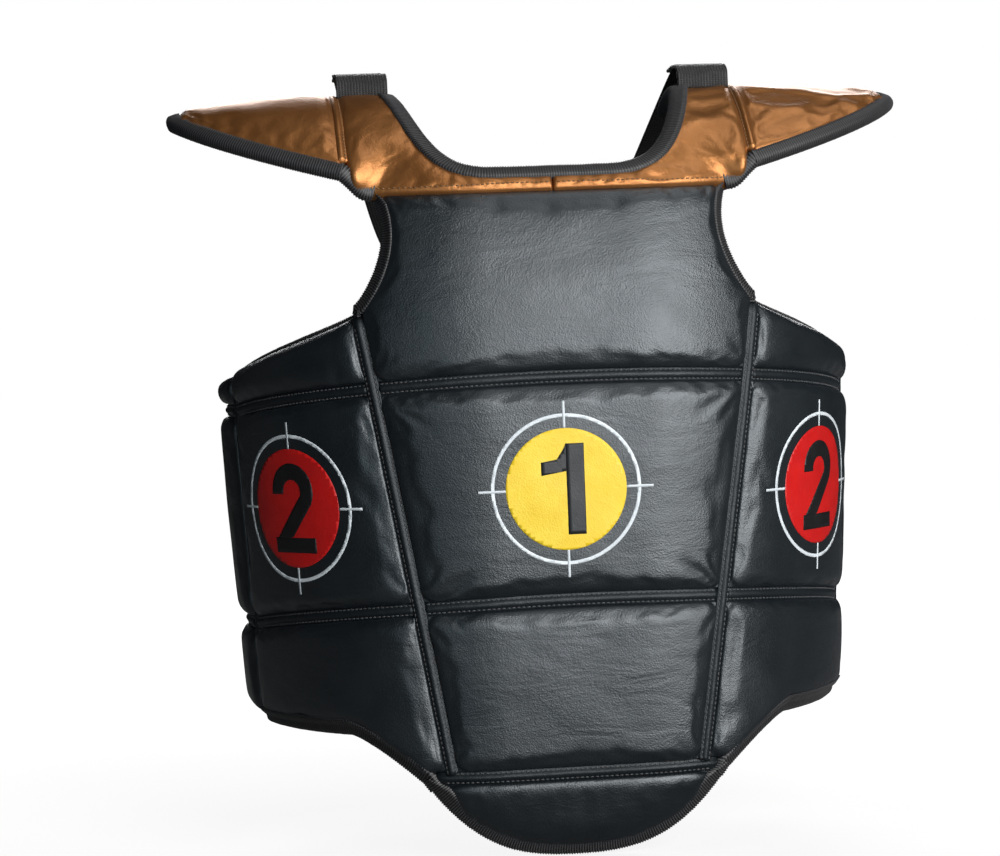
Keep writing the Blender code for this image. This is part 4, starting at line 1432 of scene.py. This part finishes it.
def studio():
    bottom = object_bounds()[0].z
    bm = bmesh.new()
    bmesh.ops.create_grid(bm, x_segments=8, y_segments=8, size=14.0)
    mesh = bpy.data.meshes.new("floor")
    bm.to_mesh(mesh)
    bm.free()
    floor = placed("floor", mesh)
    floor.location.z = bottom - 0.0005
    mesh.materials.append(floor_material())
    floor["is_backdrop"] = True

    world = bpy.data.worlds.new("studio")
    bpy.context.scene.world = world
    world.use_nodes = True
    nodes, links = world.node_tree.nodes, world.node_tree.links
    seen = nodes.new("ShaderNodeLightPath")
    level = nodes.new("ShaderNodeMapRange")
    level.inputs["To Min"].default_value = 0.020
    level.inputs["To Max"].default_value = 1.0
    links.new(seen.outputs["Is Camera Ray"], level.inputs["Value"])
    links.new(level.outputs[0], nodes["Background"].inputs["Strength"])
    nodes["Background"].inputs["Color"].default_value = (1.0, 1.0, 1.0, 1.0)

    middle = Vector((0.0, 0.10, 0.03))
    for name, azimuth, height, away, size, power, tint in (
            ("key", 25.0, 0.38, 1.9, (1.35, 2.0), 60.0, (1.0, 0.99, 0.985)),
            ("overhead", 60.0, 1.6, 0.55, (1.0, 0.8), 5.0, (1.0, 1.0, 1.0)),
            ("fill", -22.0, 0.25, 2.4, (0.9, 1.4), 5.0, (0.75, 0.92, 1.0)),
            ("rim_right", 100.0, 0.5, 2.2, (0.5, 1.5), 0.5, (1.0, 1.0, 1.0)),
            ("rim_left", -105.0, 0.4, 2.2, (0.4, 1.5), 0.25, (0.85, 0.93, 1.0)),
            ("back", 172.0, 1.1, 2.4, (1.6, 1.2), 40.0, (1.0, 1.0, 1.0))):
        lamp = bpy.data.lights.new(name, "AREA")
        lamp.shape = "RECTANGLE"
        lamp.size, lamp.size_y = size
        lamp.energy = power
        lamp.color = tint
        obj = placed(name, lamp)
        turn = math.radians(azimuth)
        obj.location = middle + Vector((math.sin(turn) * away, -math.cos(turn) * away, height))
        obj.rotation_euler = (middle - obj.location).to_track_quat("-Z", "Y").to_euler()
        obj.visible_camera = False
    bpy.context.scene.view_settings.view_transform = "Standard"


def floor_material():
    """Pale floor, lit from below like a light table so that it fades into the backdrop."""
    look = Look("pale_floor", Roughness=0.9, Emission_Color=(1.0, 1.0, 1.0, 1.0))
    look.colour(look.noise(3.0, 2.0), (0.14, 0.14, 0.14), (0.16, 0.16, 0.16))
    away = look.node("VectorMath", "Value", {0: look.place}, operation="LENGTH")
    seen = look.node("LightPath", "Is Camera Ray")
    glow = look.product(look.spread(away, 0.82, 1.0, 0.3, 1.6), seen)
    look.links.new(glow, look.shader.inputs["Emission Strength"])
    return look.material


CAMERA_AZIMUTH = math.radians(-6.545)
CAMERA_ELEVATION = math.radians(2.397)
CAMERA_ROLL = math.radians(-2.211)
CAMERA_DISTANCE = 2.2
CAMERA_TARGET = Vector((-0.0347, 0.1, 0.0401))


def camera():
    data = bpy.data.cameras.new("camera")
    data.lens = 105.06
    data.sensor_width = 36.0
    obj = placed("camera", data)
    away = Vector((math.sin(CAMERA_AZIMUTH) * math.cos(CAMERA_ELEVATION),
                   -math.cos(CAMERA_AZIMUTH) * math.cos(CAMERA_ELEVATION), math.sin(CAMERA_ELEVATION)))
    right = (-away).cross(UP).normalized()
    up = right.cross(-away)
    x_axis = right * math.cos(CAMERA_ROLL) + up * math.sin(CAMERA_ROLL)
    y_axis = up * math.cos(CAMERA_ROLL) - right * math.sin(CAMERA_ROLL)
    turn = Matrix((x_axis, y_axis, away)).transposed().to_4x4()
    obj.matrix_world = Matrix.Translation(CAMERA_TARGET + away * CAMERA_DISTANCE) @ turn
    bpy.context.scene.camera = obj


front()
for side, word in SIDES:
    side_panel(side, word)
for side, word in SIDES:
    back_panel(side, word)
apron()
for side, word in SIDES:
    yoke_half(side, word)
neck()
for side, word in SIDES:
    wing(side, word)
harness()
waist_strap()
studio()
camera()
